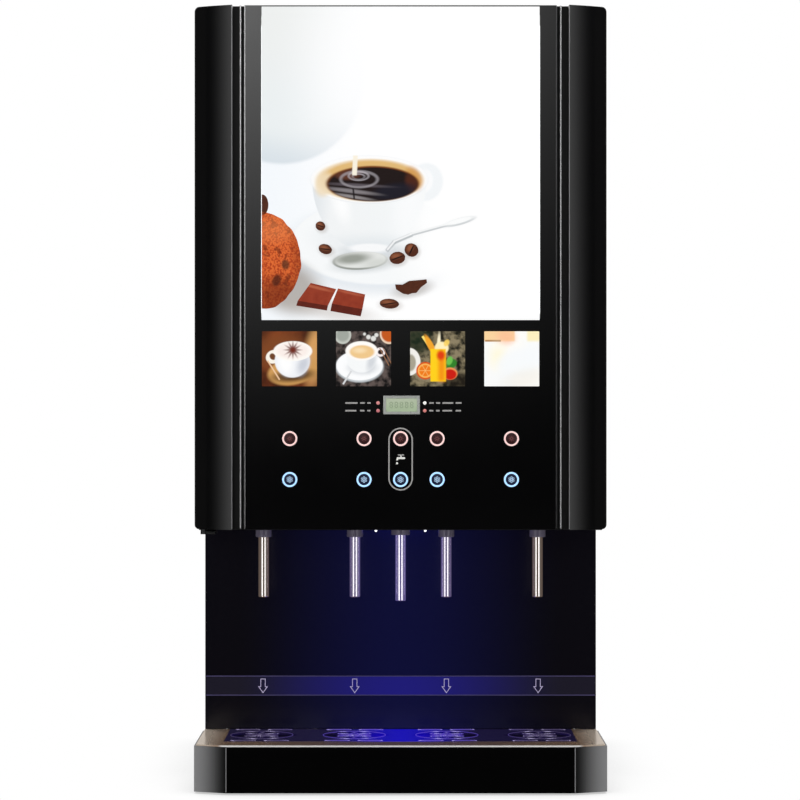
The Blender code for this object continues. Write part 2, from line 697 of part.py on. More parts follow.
def make_light_box():
    wall = 0.0015
    front, rear = -0.2615, -0.2200
    low, high = 0.483, 0.7905
    half = 0.1445
    body = box("light_box", (-half, front, low), (half, rear, high), WHITE_PLASTIC)
    cut(body, box("light_box_inside", (wall - half, front - 0.01, low + wall),
                  (half - wall, rear - wall, high - wall), None))
    return body


def make_lcd_display():
    x, z = LCD_CENTRE
    body = box("lcd_display", (x - LCD_HALF[0], -0.2694, z - LCD_HALF[1]),
               (x + LCD_HALF[0], -0.2600, z + LCD_HALF[1]), SILVER)
    cut(body, box("lcd_recess", (x - 0.0158, -0.2750, z - 0.0068), (x + 0.0158, -0.2686, z + 0.0068), None))
    return body


def make_button(name, x, z):
    """A round cap in the glass, with a stem behind it; its axis lies along Y."""
    finish = HOT_BUTTON if "hot" in name else COLD_BUTTON
    profile = [(0.0, 0.0), (BUTTON_RADIUS - 0.0003, 0.0), (BUTTON_RADIUS, -0.0003),
               (BUTTON_RADIUS, -0.0060), (0.003, -0.0060), (0.003, -0.0140), (0.0, -0.0140)]
    return turned(name, profile, (x, FRONT, z), finish, 12, False, FACING_FRONT)


def make_door_lock():
    """Barrel in the right pillar's side, with a cam that hangs down when it is unlocked."""
    x, y, z = LOCK_CENTRE
    barrel_length = 0.0165
    lock = rods("door_lock", [(-barrel_length, 0, 0)], barrel_length, 0.006, "X", STAINLESS, 16)
    lock.location = LOCK_CENTRE
    cam = box("lock_cam", (x - 0.0193, y - 0.0045, z - 0.033),
              (x - 0.0160, y + 0.0045, z + 0.0055), None)
    join(lock, cam)
    return lock


def make_door():
    pieces = [make_left_pillar(), make_right_pillar(), make_door_frame(), make_front_glass(),
              make_poster_panel(), make_light_box(), make_lcd_display(), make_door_lock()]
    pieces += [make_button(*spot) for spot in button_spots()]
    hang_on(pieces, "door_axis", (HINGE_X, HINGE_Y, DOOR_BOTTOM))


# ---------------------------------------------------------------- the whole machine
def make_base():
    make_floor_pan()
    make_base_housing()
    make_base_deck()
    make_drip_tray()
    make_drip_grille()


def make_cabinet():
    make_side_panels()
    make_top_cover()
    make_splash_panel()
    make_rear_panel()
    make_inner_chassis()
    make_door_hinge()


def make_drink_path():
    for index, x in enumerate(STATIONS, start=1):
        make_nozzle(f"drink_nozzle_{index}", x, 0.194, NOZZLE_COLLAR, 0.2568)
        make_mixing_bowl(f"mixing_bowl_{index}", x)
        make_whisk(f"whisk_{index}", x)
        make_canister(f"canister_{index}", x)
        make_auger(f"auger_{index}", x)
        make_canister_lid(f"canister_lid_{index}", x)
    make_nozzle("water_nozzle", 0.0, 0.190, WATER_COLLAR, 0.2590)


def make_services():
    make_tank("hot_water_tank", -0.095, 0.065, 0.600)
    make_tank("cold_water_tank", 0.095, 0.060, 0.560)
    make_compressor()
    make_fan_rotor()
    make_power_switch()


make_base()
make_cabinet()
make_drink_path()
make_services()
make_door()
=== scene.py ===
"""Looks of the table-top drink vending machine.

Metres, in the frame of the CAD model: +Z up, front towards -Y, +X to the viewer's right.
Every piece is modelled where it is at rest, so its own coordinates are the machine's.
"""
import json
import math
import random

import bmesh
import bpy
from mathutils import Matrix, Vector


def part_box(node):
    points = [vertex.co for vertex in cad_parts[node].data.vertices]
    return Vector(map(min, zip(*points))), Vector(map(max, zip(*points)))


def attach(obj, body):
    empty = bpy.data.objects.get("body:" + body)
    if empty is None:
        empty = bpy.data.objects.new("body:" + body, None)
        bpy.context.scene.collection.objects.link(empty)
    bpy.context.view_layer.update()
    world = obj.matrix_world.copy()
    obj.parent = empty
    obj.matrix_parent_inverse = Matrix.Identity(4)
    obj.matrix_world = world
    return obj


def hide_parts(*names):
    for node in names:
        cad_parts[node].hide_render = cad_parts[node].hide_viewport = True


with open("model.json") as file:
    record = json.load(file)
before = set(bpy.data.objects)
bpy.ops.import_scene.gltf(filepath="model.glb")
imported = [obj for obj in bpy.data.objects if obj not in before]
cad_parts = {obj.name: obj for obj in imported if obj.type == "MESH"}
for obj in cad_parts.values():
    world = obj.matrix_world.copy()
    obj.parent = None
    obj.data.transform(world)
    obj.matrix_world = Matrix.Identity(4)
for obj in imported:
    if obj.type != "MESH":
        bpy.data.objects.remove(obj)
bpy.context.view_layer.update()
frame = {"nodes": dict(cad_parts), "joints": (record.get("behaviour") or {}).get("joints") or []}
bpy.context.scene.view_settings.view_transform = "Standard"

# ---------------------------------------------------------------- places, read from the frame
def joint_place(name):
    return next(joint for joint in frame["joints"] if joint["name"] == name)["pos_m"]


STATIONS = [sum(corner[0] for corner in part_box(f"canister_{n}")) / 2 for n in range(1, 5)]
OUTLET_Y = sum(corner[1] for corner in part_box("water_nozzle")) / 2
GLASS_LOW, GLASS_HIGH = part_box("front_glass")
GLASS_Y = GLASS_LOW[1]
DOOR_LOW, DOOR_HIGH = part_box("door_frame")
POSTER_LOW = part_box("poster_panel")[0]
SPLASH_LOW, SPLASH_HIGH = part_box("splash_panel")
HOUSING_LOW, HOUSING_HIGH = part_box("base_housing")
GRILLE_LOW, GRILLE_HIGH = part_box("drip_grille")
PILLAR_LOW, PILLAR_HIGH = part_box("right_pillar")
SIDE_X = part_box("right_side_panel")[1][0]
HINGE, LOCK = joint_place("door_swing"), joint_place("lock_turn")
REAR_FACE_Y = 0.2665
HEAD_FLOOR_Z = 0.2662

SIDES = (("left", -1), ("right", 1))
BLACK = (0, 0, 0, 1)


def middle(node):
    low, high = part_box(node)
    return (Vector(low) + Vector(high)) / 2


def linear(red, green, blue):
    """A colour given as it looks on a screen, 0 to 255, as the shaders need it."""
    steps = [value / 255 for value in (red, green, blue)]
    return tuple(v / 12.92 if v < 0.04045 else ((v + 0.055) / 1.055) ** 2.4 for v in steps)


# ---------------------------------------------------------------- camera and studio
CAMERA_PLACE = (-0.0006, -3.46, 0.400)
CAMERA_LENS = 141.9


def make_camera():
    """Level, in front of the machine's middle, from far away."""
    data = bpy.data.cameras.new("camera")
    data.lens = CAMERA_LENS
    data.sensor_width = 36.0
    data.clip_end = 60.0
    camera = bpy.data.objects.new("camera", data)
    camera.location = CAMERA_PLACE
    camera.rotation_euler = (math.radians(90), 0, 0)
    bpy.context.scene.collection.objects.link(camera)
    bpy.context.scene.camera = camera


def area_light(name, place, size, power, target=(0, 0, 0.4)):
    """A soft lamp that points at the machine."""
    data = bpy.data.lights.new(name, "AREA")
    data.shape = "RECTANGLE"
    data.size, data.size_y = size
    data.energy = power
    light = bpy.data.objects.new(name, data)
    light.location = place
    light.rotation_euler = (Vector(target) - Vector(place)).to_track_quat("-Z", "Y").to_euler()
    light.visible_camera = False
    bpy.context.scene.collection.objects.link(light)
    return light


def make_world():
    """White where the camera looks past the machine; a dark room, lighter behind, for reflections."""
    world = bpy.data.worlds.new("studio")
    world.use_nodes = True
    tree = world.node_tree
    tree.nodes.clear()
    seen = tree.nodes.new("ShaderNodeBackground")
    room = tree.nodes.new("ShaderNodeBackground")
    where = tree.nodes.new("ShaderNodeSeparateXYZ")
    light = tree.nodes.new("ShaderNodeMapRange")
    rays = tree.nodes.new("ShaderNodeLightPath")
    choice = tree.nodes.new("ShaderNodeMixShader")
    output = tree.nodes.new("ShaderNodeOutputWorld")
    for key, value in (("From Min", 0.80), ("From Max", 0.98), ("To Min", 0.03), ("To Max", 0.45)):
        light.inputs[key].default_value = value
    seen.inputs["Color"].default_value = (1, 1, 1, 1)
    room.inputs["Color"].default_value = (1.0, 0.97, 0.94, 1)
    tree.links.new(tree.nodes.new("ShaderNodeTexCoord").outputs["Generated"], where.inputs[0])
    tree.links.new(where.outputs["Y"], light.inputs["Value"])
    tree.links.new(light.outputs["Result"], room.inputs["Strength"])
    tree.links.new(rays.outputs["Is Camera Ray"], choice.inputs[0])
    tree.links.new(room.outputs[0], choice.inputs[1])
    tree.links.new(seen.outputs[0], choice.inputs[2])
    tree.links.new(choice.outputs[0], output.inputs[0])
    bpy.context.scene.world = world


def stage_glow(paint, strength):
    """Turns a stage material into plain light of the given strength."""
    glow = paint.add("ShaderNodeEmission")
    paint.feed(glow.inputs["Strength"], strength)
    paint.tree.links.new(glow.outputs[0], paint.tree.nodes["Material Output"].inputs["Surface"])


def make_floor():
    """Pale, with a soft shadow at the machine; polished surfaces don't mirror it."""
    bpy.ops.mesh.primitive_plane_add(size=24, location=(0, 0, 0))
    floor = bpy.context.object
    floor.name = "studio_floor"
    floor.visible_glossy = False
    paint = Nodes("floor_paint")
    shade = paint.add("ShaderNodeAmbientOcclusion", samples=8)
    shade.inputs["Distance"].default_value = 0.12
    strength = paint.add("ShaderNodeMix", data_type="FLOAT")
    paint.feed(strength.inputs[0], paint.add("ShaderNodeLightPath").outputs["Is Camera Ray"])
    paint.feed(strength.inputs[2], 0.30)
    paint.feed(strength.inputs[3], paint.ramp(shade.outputs["AO"], 0.0, 0.9, 0.55, 1.0))
    stage_glow(paint, strength.outputs[0])
    floor.data.materials.append(paint.material)


def make_card(name, start, end, low, high, strength_of):
    """A softbox: an upright sheet that only lights, whose strength may change across it."""
    corners = (*start, low), (*end, low), (*end, high), (*start, high)
    bm = bmesh.new()
    bm.faces.new([bm.verts.new(corner) for corner in corners])
    mesh = bpy.data.meshes.new(name)
    bm.to_mesh(mesh)
    bm.free()
    paint = Nodes(name)
    stage_glow(paint, strength_of(paint))
    mesh.materials.append(paint.material)
    card = bpy.data.objects.new(name, mesh)
    card.visible_camera = False
    card.visible_shadow = False
    bpy.context.scene.collection.objects.link(card)


def make_studio():
    make_world()
    make_floor()
    area_light("key", (-2.2, -2.6, 3.0), (1.4, 1.4), 60)
    area_light("fill", (2.6, -2.0, 2.6), (1.4, 1.4), 40)
    area_light("top", (0.0, 0.5, 3.2), (2.5, 2.0), 60)
    for name, side in SIDES:
        light = area_light(f"back_{name}", (side * 2.2, 2.6, 1.8), (1.6, 1.8), 70)
        light.visible_glossy = False

    def front_strength(paint):
        """Strongest high up and on the left."""
        up = paint.math("MAXIMUM", paint.math("MULTIPLY_ADD", paint.axis("Z"), 0.873, -0.131), 0.0)
        up = paint.math("MULTIPLY", paint.math("POWER", up, 2.2), 2.8)
        across = paint.math("MULTIPLY_ADD", paint.axis("X"), -1.03, 0.64)
        return paint.math("MULTIPLY", up, paint.math("MAXIMUM", across, 0.1))

    make_card("front_softbox", (-0.62, -4.5), (0.62, -4.5), 0.1, 1.5, front_strength)
    low, high = -1.2, 1.7
    for name, side in SIDES:
        near, far = (side * 1.75, -2.55), (side * 2.95, -1.50)

        def side_strength(paint):
            """Fades away from the machine."""
            fade = paint.ramp(paint.sideways(), abs(far[0]), abs(near[0]))
            return paint.math("MULTIPLY", paint.math("POWER", fade, 1.6), 1.15)

        make_card(f"{name}_softbox", near, far, low, high, side_strength)
        make_card(f"{name}_softbox_strip", (side * 1.15, -3.05), (side * 1.60, -2.80), low, high,
                  lambda paint: 2.2)


# ---------------------------------------------------------------- materials
class Nodes:
    """Short calls for building a material's node tree."""

    def __init__(self, name):
        self.material = bpy.data.materials.new(name)
        self.material.use_nodes = True
        self.tree = self.material.node_tree
        self.shader = self.tree.nodes["Principled BSDF"]
        self.place = self.add("ShaderNodeTexCoord").outputs["Object"]

    def add(self, kind, **settings):
        node = self.tree.nodes.new(kind)
        for key, value in settings.items():
            setattr(node, key, value)
        return node

    def feed(self, socket, value):
        if isinstance(value, bpy.types.NodeSocket):
            self.tree.links.new(value, socket)
        else:
            socket.default_value = value

    def math(self, operation, *values):
        node = self.add("ShaderNodeMath", operation=operation)
        for socket, value in zip(node.inputs, values):
            self.feed(socket, value)
        return node.outputs[0]

    def ramp(self, value, low, high, start=0.0, end=1.0):
        """Smooth change from start to end as the value goes from low to high."""
        node = self.add("ShaderNodeMapRange", interpolation_type="SMOOTHSTEP")
        for key, number in (("Value", value), ("From Min", low), ("From Max", high),
                            ("To Min", start), ("To Max", end)):
            self.feed(node.inputs[key], number)
        return node.outputs["Result"]

    def mix(self, factor, first, second):
        node = self.add("ShaderNodeMix", data_type="RGBA")
        for index, value in ((0, factor), (6, first), (7, second)):
            self.feed(node.inputs[index], value)
        return node.outputs[2]

    def axis(self, letter):
        return self.add_linked("ShaderNodeSeparateXYZ", self.place).outputs[letter]

    def sideways(self):
        """Distance from the machine's middle plane, to either side."""
        return self.math("ABSOLUTE", self.axis("X"))

    def add_linked(self, kind, source, **settings):
        node = self.add(kind, **settings)
        self.tree.links.new(source, node.inputs[0])
        return node

    def noise(self, scale, detail=4.0, stretch=(1.0, 1.0, 1.0)):
        mapping = self.add_linked("ShaderNodeMapping", self.place)
        mapping.inputs["Scale"].default_value = stretch
        node = self.add_linked("ShaderNodeTexNoise", mapping.outputs[0])
        node.inputs["Scale"].default_value = scale
        node.inputs["Detail"].default_value = detail
        return node.outputs["Fac"]

    def bump(self, height, distance):
        node = self.add("ShaderNodeBump")
        node.inputs["Distance"].default_value = distance
        node.inputs["Strength"].default_value = 1.0
        self.feed(node.inputs["Height"], height)
        self.feed(self.shader.inputs["Normal"], node.outputs[0])

    def set(self, **sockets):
        """Sets shader sockets; an underscore in a name stands for a space."""
        for key, value in sockets.items():
            self.feed(self.shader.inputs[key.replace("_", " ")], value)

    # shapes drawn in the plane of X and Z
    def local(self, centre, size, turn=0.0, place=None):
        """Coordinates in which a shape's half sizes are 1."""
        mapping = self.add_linked("ShaderNodeMapping", place or self.place, vector_type="TEXTURE")
        mapping.inputs["Location"].default_value = (centre[0], 0, centre[1])
        mapping.inputs["Rotation"].default_value = (0, -math.radians(turn), 0)
        mapping.inputs["Scale"].default_value = (size[0], 1000.0, size[1])
        return mapping.outputs[0]

    def ellipse(self, centre, size, turn=0.0, blur=0.0003, place=None):
        away = self.add_linked("ShaderNodeVectorMath", self.local(centre, size, turn, place),
                               operation="LENGTH").outputs["Value"]
        soft = blur / min(size)
        return self.ramp(away, max(1 - soft, 0.0), 1 + soft, 1.0, 0.0)

    def block(self, centre, size, turn=0.0, blur=0.0003, place=None):
        parts = self.add_linked("ShaderNodeSeparateXYZ", self.local(centre, size, turn, place))
        soft_x, soft_z = blur / size[0], blur / size[1]
        in_x = self.ramp(self.math("ABSOLUTE", parts.outputs["X"]), 1 - soft_x, 1 + soft_x, 1.0, 0.0)
        in_z = self.ramp(self.math("ABSOLUTE", parts.outputs["Z"]), 1 - soft_z, 1 + soft_z, 1.0, 0.0)
        return self.math("MULTIPLY", in_x, in_z)

    def over(self, below, mask, colour, strength=1.0):
        if strength < 1.0:
            mask = self.math("MULTIPLY", mask, strength)
        if isinstance(colour, tuple) and len(colour) == 3:
            colour = (*colour, 1.0)
        return self.mix(mask, below, colour)


def surface(name, colour, roughness, metallic=0.0, vary=0.10, grain=350.0,
            stretch=(1.0, 1.0, 1.0), rough_vary=0.20, relief=0.00001, **sockets):
    """A finish with uneven colour and gloss, and a fine relief."""
    paint = Nodes(name)
    patches = paint.noise(9.0, 5.0)
    fine = paint.noise(grain, 3.0, stretch)
    dark = tuple(value * (1 - vary) for value in colour)
    light = tuple(min(value * (1 + vary), 1.0) for value in colour)
    tint = paint.mix(paint.math("MULTIPLY_ADD", fine, 0.35, paint.math("MULTIPLY", patches, 0.65)),
                     (*dark, 1), (*light, 1))
    gloss = paint.math("MULTIPLY_ADD", paint.math("ADD", fine, patches), roughness * rough_vary,
                       roughness * (1 - rough_vary))
    paint.set(Base_Color=tint, Roughness=gloss, Metallic=metallic)
    paint.bump(fine, relief)
    paint.set(**sockets)
    return paint


BLACK_GLOSS = surface("black_gloss_lacquer", (0.0035, 0.0035, 0.0038), 0.16, vary=0.2,
                      grain=180.0, relief=0.000004, Coat_Weight=0.6, Coat_Roughness=0.06).material
BLACK_SHEET = surface("black_powder_coat", (0.010, 0.010, 0.011), 0.42, vary=0.15, grain=1500.0,
                      relief=0.00004).material
STEEL = surface("polished_steel", (0.66, 0.64, 0.62), 0.16, 1.0, vary=0.06, grain=500.0,
                stretch=(1, 1, 0.03), relief=0.000006).material
GALVANISED = surface("galvanised_sheet", (0.50, 0.51, 0.52), 0.38, 1.0, vary=0.22, grain=70.0,
                     relief=0.000006).material
CHROME = surface("chrome_trim", (0.74, 0.74, 0.75), 0.10, 1.0, vary=0.04, grain=120.0,
                 relief=0.000002).material
WHITE_PLASTIC = surface("white_plastic", (0.74, 0.74, 0.72), 0.38, vary=0.05,
                        grain=900.0, relief=0.00002).material
BLACK_PLASTIC = surface("black_plastic", (0.018, 0.018, 0.020), 0.45, vary=0.15, grain=1100.0,
                        relief=0.00003).material
RUBBER = surface("black_rubber", (0.022, 0.022, 0.022), 0.75, vary=0.2, grain=700.0,
                 relief=0.00004).material


def clear_plastic(name, colour, roughness, through):
    """Through is the share of light that passes each wall face."""
    return surface(name, colour, roughness, vary=0.03, grain=60.0, Alpha=1 - through, IOR=1.49).material


SMOKED_CLEAR = clear_plastic("clear_canister_plastic", (0.55, 0.58, 0.60), 0.12, 0.88)
BOWL_CLEAR = clear_plastic("clear_bowl_plastic", (0.70, 0.73, 0.76), 0.20, 0.70)


# ---------------------------------------------------------------- meshes
FACING_FRONT = Matrix.Rotation(math.radians(90), 4, "X")
FLAT = Matrix.Identity(4)
ALONG = {
    "X": Matrix.Rotation(math.radians(90), 4, "Y"),
    "Y": Matrix.Rotation(math.radians(-90), 4, "X"),
    "-Y": Matrix.Rotation(math.radians(90), 4, "X"),
    "Z": Matrix.Identity(4),
}


def arc(centre, radius, start_deg, end_deg, steps):
    points = []
    for step in range(steps + 1):
        angle = math.radians(start_deg + (end_deg - start_deg) * step / steps)
        points.append((centre[0] + radius * math.cos(angle), centre[1] + radius * math.sin(angle)))
    return points


def circle(centre, radius, sides=48):
    return arc(centre, radius, 0, 360 - 360 / sides, sides - 1)


def rectangle(low, high):
    return [(low[0], low[1]), (high[0], low[1]), (high[0], high[1]), (low[0], high[1])]


def round_rectangle(low, high, radius, steps=6):
    left, right, bottom, top = low[0] + radius, high[0] - radius, low[1] + radius, high[1] - radius
    corners = ((right, bottom), -90), ((right, top), 0), ((left, top), 90), ((left, bottom), 180)
    return [point for centre, start in corners for point in arc(centre, radius, start, start + 90, steps)]


def swept(start, control, end, steps):
    """A curve that leaves and arrives towards its control point."""
    points = []
    for step in range(steps + 1):
        t = step / steps
        a, b, c = (1 - t) ** 2, 2 * t * (1 - t), t ** 2
        points.append((a * start[0] + b * control[0] + c * end[0],
                       a * start[1] + b * control[1] + c * end[1]))
    return points


def smooth_path(points, steps=8):
    """A curve through every point."""
    points = [Vector(point) for point in points]
    padded = [points[0] * 2 - points[1], *points, points[-1] * 2 - points[-2]]
    path = []
    for a, b, c, d in zip(padded, padded[1:], padded[2:], padded[3:]):
        for step in range(steps):
            t = step / steps
            path.append(0.5 * (2 * b + (c - a) * t + (2 * a - 5 * b + 4 * c - d) * t * t
                               + (3 * b - a - 3 * c + d) * t ** 3))
    return [*path, points[-1]]


def close_up(bm):
    """The mesh of a drawing, with its seams joined and its faces turned outwards."""
    bmesh.ops.remove_doubles(bm, verts=bm.verts, dist=1e-6)
    bmesh.ops.recalc_face_normals(bm, faces=bm.faces)
    mesh = bpy.data.meshes.new("piece")
    bm.to_mesh(mesh)
    bm.free()
    return mesh


def block(low, high):
    bm = bmesh.new()
    bmesh.ops.create_cube(bm, size=1.0)
    low, high = Vector(low), Vector(high)
    bmesh.ops.scale(bm, vec=high - low, verts=bm.verts)
    bmesh.ops.translate(bm, vec=(low + high) / 2, verts=bm.verts)
    return close_up(bm)


def upright_block(x, z, half_wide, half_tall, front, rear):
    """A block round a middle in X and Z."""
    return block((x - half_wide, front, z - half_tall), (x + half_wide, rear, z + half_tall))


def prism(outlines, thickness, plane, offset):
    """Flat outlines, the inner ones being holes, thickened to both sides of the plane."""
    curve = bpy.data.curves.new("outline", "CURVE")
    curve.dimensions = "2D"
    curve.fill_mode = "BOTH"
    curve.extrude = thickness / 2
    for points in outlines:
        spline = curve.splines.new("POLY")
        spline.points.add(len(points) - 1)
        for point, (x, y) in zip(spline.points, points):
            point.co = (x, y, 0.0, 1.0)
        spline.use_cyclic_u = True
    mesh = as_mesh(curve)
    bm = bmesh.new()
    bm.from_mesh(mesh)
    bm.transform(Matrix.Translation(offset) @ plane)
    return close_up(bm)


def turned(profile, centre, axis="Z", steps=48, closed=False):
    """Profile of (radius, distance along the axis) pairs, turned round an axis."""
    bm = bmesh.new()
    points = [bm.verts.new((radius, 0.0, along)) for radius, along in profile]
    edges = [bm.edges.new(pair) for pair in zip(points, points[1:])]
    if closed:
        edges.append(bm.edges.new((points[-1], points[0])))
    bmesh.ops.spin(bm, geom=[*points, *edges], cent=(0, 0, 0), axis=(0, 0, 1), angle=math.tau,
                   steps=steps, use_duplicate=False)
    bm.transform(Matrix.Translation(centre) @ ALONG[axis])
    return close_up(bm)


def rod(radius, start, end):
    """Profile of a round bar, for turned."""
    return [(0.0, start), (radius, start), (radius, end), (0.0, end)]


def hoop(inner, outer, low, high):
    """Profile of a flat ring, for turned with closed=True."""
    return [(inner, low), (outer, low), (outer, high), (inner, high)]


def as_mesh(data):
    """The final mesh of a curve or of an object with modifiers."""
    obj = data if isinstance(data, bpy.types.Object) else bpy.data.objects.new("drawing", data)
    if not obj.users_collection:
        bpy.context.scene.collection.objects.link(obj)
    mesh = bpy.data.meshes.new_from_object(obj.evaluated_get(bpy.context.evaluated_depsgraph_get()))
    bpy.data.objects.remove(obj, do_unlink=True)
    return mesh


def tube(points, radius, sides=4):
    """A round bar along a path; sides sets how fine the section is."""
    curve = bpy.data.curves.new("tube", "CURVE")
    curve.dimensions = "3D"
    curve.bevel_depth = radius
    curve.bevel_resolution = sides
    curve.use_fill_caps = True
    spline = curve.splines.new("POLY")
    spline.points.add(len(points) - 1)
    for point, place in zip(spline.points, points):
        point.co = (*place, 1.0)
    bm = bmesh.new()
    bm.from_mesh(as_mesh(curve))
    return close_up(bm)


def merged(meshes):
    """Several meshes as one, still separate shells."""
    bm = bmesh.new()
    for mesh in meshes:
        bm.from_mesh(mesh)
    mesh = bpy.data.meshes.new("piece")
    bm.to_mesh(mesh)
    bm.free()
    return mesh


def carved(target, tool, operation="DIFFERENCE"):
    """Target with the tool cut away, joined on or kept in common."""
    first = bpy.data.objects.new("target", target)
    second = bpy.data.objects.new("tool", tool)
    for obj in (first, second):
        bpy.context.scene.collection.objects.link(obj)
    modifier = first.modifiers.new("carve", "BOOLEAN")
    modifier.operation = operation
    modifier.solver = "EXACT"
    modifier.object = second
    mesh = as_mesh(first)
    bpy.data.objects.remove(second, do_unlink=True)
    return mesh


def soften(obj, width, segments=2, angle=30):
    """Rounded edges that catch the light."""
    bevel = obj.modifiers.new("edge", "BEVEL")
    bevel.width = width
    bevel.segments = segments
    bevel.limit_method = "ANGLE"
    bevel.angle_limit = math.radians(angle)
    bevel.harden_normals = False
    bevel.use_clamp_overlap = True


def piece(name, mesh, finish, body, edge=0.0, smooth=35, replaces=()):
    """A finished piece that rides on a body."""
    mesh.name = name
    mesh.materials.clear()
    mesh.materials.append(finish)
    mesh.shade_smooth()
    mesh.set_sharp_from_angle(angle=math.radians(smooth))
    obj = bpy.data.objects.new(name, mesh)
    bpy.context.scene.collection.objects.link(obj)
    if edge:
        soften(obj, edge)
    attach(obj, body)
    if replaces:
        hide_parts(*replaces)
    return obj


def dress(node, finish, edge=0.0, segments=2, angle=30):
    """A CAD node that keeps its shape and gets its finish, with softened edges."""
    obj = frame["nodes"][node]
    obj.data.materials.clear()
    obj.data.materials.append(finish)
    if edge:
        soften(obj, edge, segments, angle)
    return obj


def screw_head(centre, axis, radius=0.0032):
    """A pan-head screw with a cross recess."""
    profile = [(0.0, 0.0016), (radius * 0.5, 0.0015), (radius * 0.85, 0.0010), (radius, 0.0003),
               (radius, -0.0005), (0.0, -0.0005)]
    head = turned(profile, (0, 0, 0), "Z", 24)
    for size in ((radius * 1.1, 0.0008), (0.0008, radius * 1.1)):
        head = carved(head, block((-size[0] / 2, -size[1] / 2, 0.0007), (size[0] / 2, size[1] / 2, 0.003)))
    head.transform(Matrix.Translation(centre) @ ALONG[axis])
    return head


# ---------------------------------------------------------------- printed artwork
POSTER_GLOW = 0.905


def lit_print(paint, art, glow):
    """A print seen by the room's light and by the lamp behind it."""
    paint.set(Base_Color=paint.mix(0.85, art, BLACK), Emission_Color=art, Emission_Strength=glow,
              Roughness=0.30, Specular_IOR_Level=0.20)
    return paint.material


def draw(paint, art, rows, origin=(0.0, 0.0), within=None):
    """Lays soft-edged ovals and bars over a picture.

    A row is: shape, middle (x, z) and half size in millimetres from the origin, turn in degrees,
    blur in millimetres, colour as on a screen, strength.
    """
    for shape, x, z, wide, tall, turn, blur, colour, strength in rows:
        outline = paint.ellipse if shape == "oval" else paint.block
        middle_x, middle_z = origin[0] + x / 1000, origin[1] + z / 1000
        mask = outline((middle_x, middle_z), (wide / 1000, tall / 1000), turn, blur / 1000)
        if within is not None:
            mask = paint.math("MULTIPLY", mask, within)
        art = paint.over(art, mask, linear(*colour), strength)
    return art


def tint(*colour):
    """The same, with the alpha that a node's colour socket wants."""
    return (*linear(*colour), 1)


# rows for draw, in the order they are laid down
BACKDROP = (
    ("oval", -120, 720, 82, 81, 0, 2.5, (208, 218, 225), 0.80),
    ("oval", -112, 739, 77, 82, 0, 20, (234, 239, 240), 0.95),
    ("oval", -150, 790, 120, 60, 0, 50, (236, 238, 237), 0.9),
    ("oval", -30, 740, 62, 110, 0, 45, (254, 254, 255), 0.90),
    ("oval", -18, 553, 96, 46, 0, 9, (216, 223, 230), 0.65),
    ("oval", -21.5, 559, 90, 44.5, 0, 0.8, (230, 235, 240), 1),
    ("oval", -21.5, 560.5, 89, 43.5, 0, 1.6, (246, 248, 249), 1),
    ("oval", -28, 564, 58, 23, 0, 8, (234, 237, 239), 0.7),
    ("oval", 70, 560, 62, 62, 0, 30, (255, 255, 255), 0.95),
    ("oval", 25.5, 620.5, 17.5, 19.5, -12, 1.8, (242, 245, 247), 1),
    ("oval", 22.5, 621.5, 9.8, 12, -12, 2, (251, 252, 253), 1),
    ("oval", -27, 550, 33, 7.5, 0, 4, (204, 210, 214), 0.7))
CUP_SHADING = (
    ("oval", 10, 590, 16, 40, 0, 12, (250, 251, 252), 0.8),
    ("oval", -92, 602, 14, 44, 0, 10, (222, 227, 231), 0.8),
    ("oval", -31, 550, 46, 14, 0, 10, (222, 228, 232), 0.8),
    ("oval", -60, 598, 7, 16, 14, 6, (255, 255, 255), 0.8))
RIM_AND_FOAM = (
    ("oval", -31, 552.5, 21.5, 5, 0, 1, (228, 232, 235), 1),
    ("oval", -31, 554, 20.5, 4.2, 0, 1.2, (247, 248, 249), 1),
    ("oval", -31.6, 623.1, 60, 24.5, 0, 0.6, (236, 238, 240), 1),
    ("oval", -31.6, 623.4, 59.2, 23.8, 0, 0.8, (253, 253, 253), 1),
    ("oval", -32, 622.6, 54.5, 21.5, 0, 1.5, (244, 232, 210), 1),
    ("oval", -30, 622.4, 51.5, 20.6, 0, 2.2, (224, 184, 118), 1),
    ("oval", 13, 624, 8, 12, 20, 3, (206, 142, 66), 0.7),
    ("oval", -77, 618, 9, 12, -20, 3, (238, 218, 184), 0.85),
    ("oval", -28.4, 619, 47, 18, 0, 1, (126, 68, 26), 1))
COFFEE = (
    ("oval", -54, 629, 13, 6, 0, 2, (96, 52, 34), 0.85),
    ("oval", 12, 622, 7, 11, 0, 3, (84, 38, 18), 0.75),
    ("oval", -6, 611, 22, 8, 8, 3, (24, 24, 38), 0.8),
    ("oval", -50, 611.5, 25, 1.9, -7, 1.2, (156, 150, 154), 0.65),
    ("oval", -49, 605.8, 19, 1.5, -9, 1.1, (176, 170, 172), 0.6),
    ("oval", -44, 617.5, 27, 1.4, -3, 1.2, (116, 108, 116), 0.55),
    ("block", -47.5, 609, 0.9, 6.5, 6, 0.6, (20, 14, 16), 0.9))
